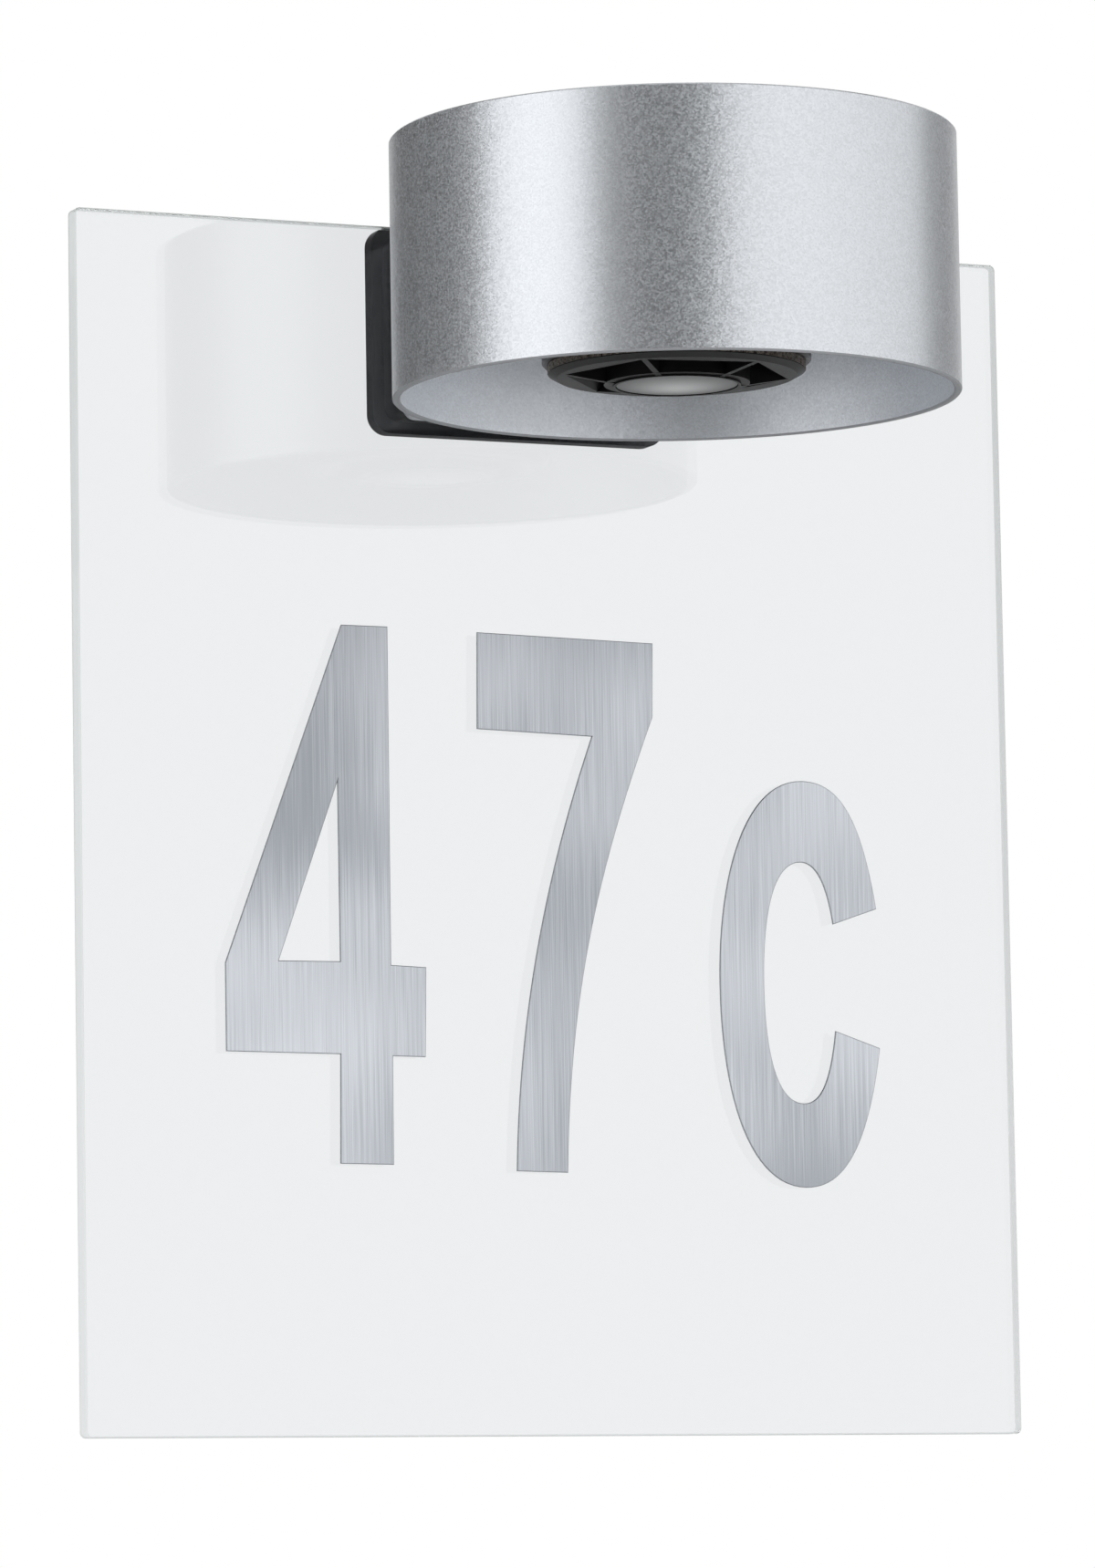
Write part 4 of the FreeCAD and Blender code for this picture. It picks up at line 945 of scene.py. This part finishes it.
@dataclass(frozen=True)
class NumberPlate:
    """The clear plate and its house number.

    The numerals' heights count from the plate's lower edge. A corner is the reach of the round at
    the plate's corners, and a face looks to the front or back if its normal's part along Y is at
    least the share flat.
    """

    numerals: tuple[Numeral, ...] = (FOUR, SEVEN, LETTER_C)
    corner: float = 1.3 * MM
    flat: float = 0.9

    def build(self, nodes: dict) -> None:
        """Put the house number on the plate's front and dress both.

        Args:
            nodes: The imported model's nodes by name.
        """
        low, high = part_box("number_plate")
        self.build_sheet(nodes["number_plate"], np.array(low), np.array(high))
        for numeral in self.numerals:
            item = numeral.build(low[2], low[1])
            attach(item, BODY)
            LOG.info("made %s, %.1f mm high", item.name, item.dimensions.z / MM)

    def build_sheet(self, node: bpy.types.Object, low: np.ndarray, high: np.ndarray) -> None:
        """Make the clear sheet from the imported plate, with a second finish round its rim.

        A face is on the rim if its middle is no farther from the sheet's sides than the round of a
        corner reaches, and it doesn't look straight to the front or back.

        Args:
            node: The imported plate.
            low: The plate's lowest corner.
            high: The plate's highest corner.
        """
        data = node.data.copy()
        data.name = "clear_sheet"
        weld(data)
        middles, normals = np.empty((2, 3 * len(data.polygons)))
        data.polygons.foreach_get("center", middles)
        data.polygons.foreach_get("normal", normals)
        middles, normals = middles.reshape(-1, 3), normals.reshape(-1, 3)
        near = np.minimum(middles - low, high - middles)[:, (0, 2)].min(axis=1) < self.corner
        rim = near & (np.abs(normals[:, 1]) < self.flat)
        data.materials.clear()
        data.materials.append(CLEAR.material())
        data.materials.append(SHEET_EDGE.material())
        data.polygons.foreach_set("material_index", rim.astype(np.int32))
        sheet = bpy.data.objects.new("clear_sheet", data)
        bpy.context.scene.collection.objects.link(sheet)
        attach(sheet, BODY)
        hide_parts("number_plate")
        LOG.info("made clear_sheet, with %d faces on its rim", int(rim.sum()))


Looks = tuple[tuple[Finish, tuple[str, ...]], ...]


@dataclass(frozen=True)
class SubAssembly:
    """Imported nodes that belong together, listed by the finish that they get."""

    looks: Looks

    def build(self, nodes: dict) -> None:
        """Give each node its finish.

        Args:
            nodes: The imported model's nodes by name.
        """
        for finish, names in self.looks:
            for name in names:
                for slot in nodes[name].material_slots:
                    slot.material = finish.material()
                LOG.info("dressed %s in %s", name, finish.name)


@dataclass(frozen=True)
class WallMount(SubAssembly):
    """The black mount behind the plate, and what it holds."""

    looks: Looks = (
        (BLACK, ("wall_bracket", "rear_housing")),
        (RUBBER, ("wall_gasket", "cable_grommet", "rear_seal", "front_seal")),
        (IVORY, ("terminal_block",)),
        (BRASS, ("terminal_cages", "earth_tag")),
        (STEEL, ("terminal_screws", "locking_screws", "saddle_screws", "earth_bolt")),
        (LEAD_BROWN, ("live_lead",)),
        (LEAD_BLUE, ("neutral_lead",)),
        (LEAD_GREEN, ("earth_lead",)),
    )


@dataclass(frozen=True)
class Drum(SubAssembly):
    """The painted drum, its saddle and its cover, with their seals and screws."""

    looks: Looks = (
        (SILVER_DRUM, ("drum_shell",)),
        (SILVER, ("saddle", "top_cover")),
        (RUBBER, ("cover_seal",)),
        (STEEL, ("cover_screws", "drum_screws")),
    )


@dataclass(frozen=True)
class LampUnit(SubAssembly):
    """The LED unit inside the drum, and the driver above it."""

    looks: Looks = (
        (CUP_METAL, ("lamp_cup", "wire_conduit")),
        (RUBBER, ("cup_seal", "conduit_seal", "lens_seal")),
        (STEEL, ("cup_screws",)),
        (BEZEL_BLACK, ("bezel",)),
        (LENS, ("lens",)),
        (BRONZE, ("fluted_ring",)),
        (SINK_METAL, ("heat_sink",)),
        (BOARD, ("led_board", "driver_board")),
        (PHOSPHOR, ("led_emitter",)),
        (FERRITE, ("driver_transformer", "board_spacers")),
        (CAN_BLUE, ("driver_capacitor",)),
        (IVORY, ("driver_header",)),
    )


@dataclass(frozen=True)
class Camera:
    """The photograph's view: its place, and its turn to the right, tilt up and roll in radians.

    The lens and the sensor's width are in millimetres, and the reach is in metres.
    """

    place: Triple = (-0.6088, -1.3934, -0.2601)
    yaw: float = 0.4161
    pitch: float = 0.1116
    roll: float = 0.0166
    lens: float = 175.72
    sensor: float = 36.0
    reach: Pair = (0.01, 50.0)

    def build(self) -> None:
        """Make the camera and set it as the scene's."""
        data = bpy.data.cameras.new("camera")
        data.lens, data.sensor_width = self.lens, self.sensor
        data.clip_start, data.clip_end = self.reach
        item = bpy.data.objects.new("camera", data)
        bpy.context.scene.collection.objects.link(item)
        level = math.pi / 2
        turn = (Matrix.Rotation(-self.yaw, 4, "Z")
                @ Matrix.Rotation(level + self.pitch, 4, "X")
                @ Matrix.Rotation(-self.roll, 4, "Z"))
        item.matrix_world = Matrix.Translation(self.place) @ turn
        bpy.context.scene.camera = item


@dataclass(frozen=True)
class Studio:
    """A pale floor, bright panels left and right, and dim gaps between them.

    Angles are in degrees. Those about the upright axis count from the light's front, positive to
    the right, and a rise is the angle above the level. A window has its start, its end and the
    softness of its edges. A level of 1 is white.
    """

    floor_level: float = -0.75
    floor_half: float = 1.0
    floor_color: Color = (0.70, 0.70, 0.70)
    floor_glow: float = 0.10
    floor_glow_seen: float = 0.45
    left_panel: Triple = (-106.0, -58.0, 4.0)
    left_level: float = 1.76
    right_panel: Triple = (-7.5, 95.5, 5.0)
    right_level: float = 1.37
    right_span: Pair = (15.0, 90.0)
    right_fade: float = 0.22
    panel_rise: Triple = (-50.0, 48.0, 10.0)
    low_rise: Triple = (-31.0, -6.0, 4.0)
    low_gain: float = 0.5
    back_panel: Triple = (128.1, 182.1, 8.0)
    back_rise: Triple = (-5.0, 42.0, 3.0)
    back_level: float = 0.8
    right_back: Triple = (100.0, 200.0, 12.0)
    right_back_level: float = 0.28
    top_rise: Pair = (38.0, 62.0)
    top_level: float = 0.75
    dim_level: float = 0.13

    def build(self) -> None:
        """Make the world and the floor."""
        self.build_world()
        self.build_floor()
        bpy.context.scene.view_settings.view_transform = "Standard"

    @staticmethod
    def light_path(graph: Graph, *names: str) -> list[Signal]:
        """Give signals that say what kind of ray is looked along."""
        return [graph.node("ShaderNodeLightPath", {}, {}, name) for name in names]

    def levels(self, graph: Graph) -> Signal:
        """Say how bright the studio is in each direction.

        The angle is the arc tangent of x over minus y, and the rise is that of z over the root of
        x squared plus y squared. Each panel is the product of its windows in both, the brightest
        one counts, and nothing is darker than the gaps.

        Args:
            graph: The world's graph.

        Returns:
            The level of the light.
        """
        x, y, z = graph.split(graph.node("ShaderNodeTexCoord", {}, {}, "Generated"))
        angle = graph.maths(Sums.ARCTAN2, x, y * -1.0) * math.degrees(1.0)
        rise = graph.maths(Sums.ARCTAN2, z, (x * x + y * y) ** 0.5) * math.degrees(1.0)
        band = rise.window(*self.panel_rise) * (rise.window(*self.low_rise) * self.low_gain + 1.0)
        left = angle.window(*self.left_panel) * band
        fade = angle.ramp(*self.right_span, 1.0, 1.0 - self.right_fade)
        right = angle.window(*self.right_panel) * band * fade
        level = left * self.left_level + right * self.right_level
        back = angle.window(*self.back_panel) * rise.window(*self.back_rise) * self.back_level
        right_back = angle.window(*self.right_back) * self.right_back_level
        top = rise.ramp(*self.top_rise) * self.top_level
        for other in (back, top, right_back, self.dim_level):
            level = level.sum(Sums.MAXIMUM, other)
        return level

    def build_world(self) -> None:
        """Write the light from each direction; what the lens sees straight is white.

        A ray counts as straight if it comes from the lens itself, or through clear pieces without
        having bounced off anything.
        """
        world = bpy.data.worlds.new("studio")
        world.use_nodes = True
        bpy.context.scene.world = world
        graph = Graph(world.node_tree)
        camera, through, glossy, diffuse = self.light_path(
            graph, "Is Camera Ray", "Is Transmission Ray", "Glossy Depth", "Diffuse Depth")
        bounced = (glossy + diffuse).sum(Sums.MINIMUM, 1.0)
        straight_ray = camera + through * (1.0 - bounced)
        level = self.levels(graph).sum(Sums.MAXIMUM, straight_ray)
        light = graph.node("ShaderNodeBackground", {}, {"Color": (*WHITE, 1.0), "Strength": level})
        graph.node("ShaderNodeOutputWorld", {}, {"Surface": light})

    def floor_shader(self, graph: Graph, glow: float) -> Signal:
        """Add a glow to a matt surface, which keeps the shadow that falls on it.

        Args:
            graph: The floor's graph.
            glow: The strength of the glow.

        Returns:
            The sum of the two shaders.
        """
        matt = graph.node("ShaderNodeBsdfDiffuse", {}, {"Color": (*self.floor_color, 1.0)})
        lit = graph.node("ShaderNodeEmission", {}, {"Color": (*WHITE, 1.0), "Strength": glow})
        return graph.node("ShaderNodeAddShader", {}, {0: matt, 1: lit})

    def build_floor(self) -> None:
        """Make a pale floor that looks white and still takes the light's shadow."""
        half = self.floor_half
        sides = np.array([(-half, -half), (half, -half), (half, half), (-half, half)])
        points = np.column_stack([sides, np.full(4, self.floor_level)])
        floor = add_mesh("floor", points, [(0, 1, 2, 3)])
        material = bpy.data.materials.new("floor")
        material.use_nodes = True
        graph = Graph(material.node_tree)
        camera, glossy, through = self.light_path(
            graph, "Is Camera Ray", "Is Glossy Ray", "Is Transmission Ray")
        seen = (camera + glossy + through).sum(Sums.MINIMUM, 1.0)
        shader = graph.node("ShaderNodeMixShader", {}, {
            0: seen,
            1: self.floor_shader(graph, self.floor_glow),
            2: self.floor_shader(graph, self.floor_glow_seen),
        })
        graph.node("ShaderNodeOutputMaterial", {}, {"Surface": shader})
        floor.data.materials.append(material)


def main() -> None:
    """Build the light's looks in order."""
    logging.basicConfig(level=logging.INFO, format="%(message)s")
    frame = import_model()
    nodes = frame["nodes"]
    for section in (WallMount(), NumberPlate(), Drum(), LampUnit()):
        section.build(nodes)
    Studio().build()
    Camera().build()


if __name__ == "__main__":
    main()
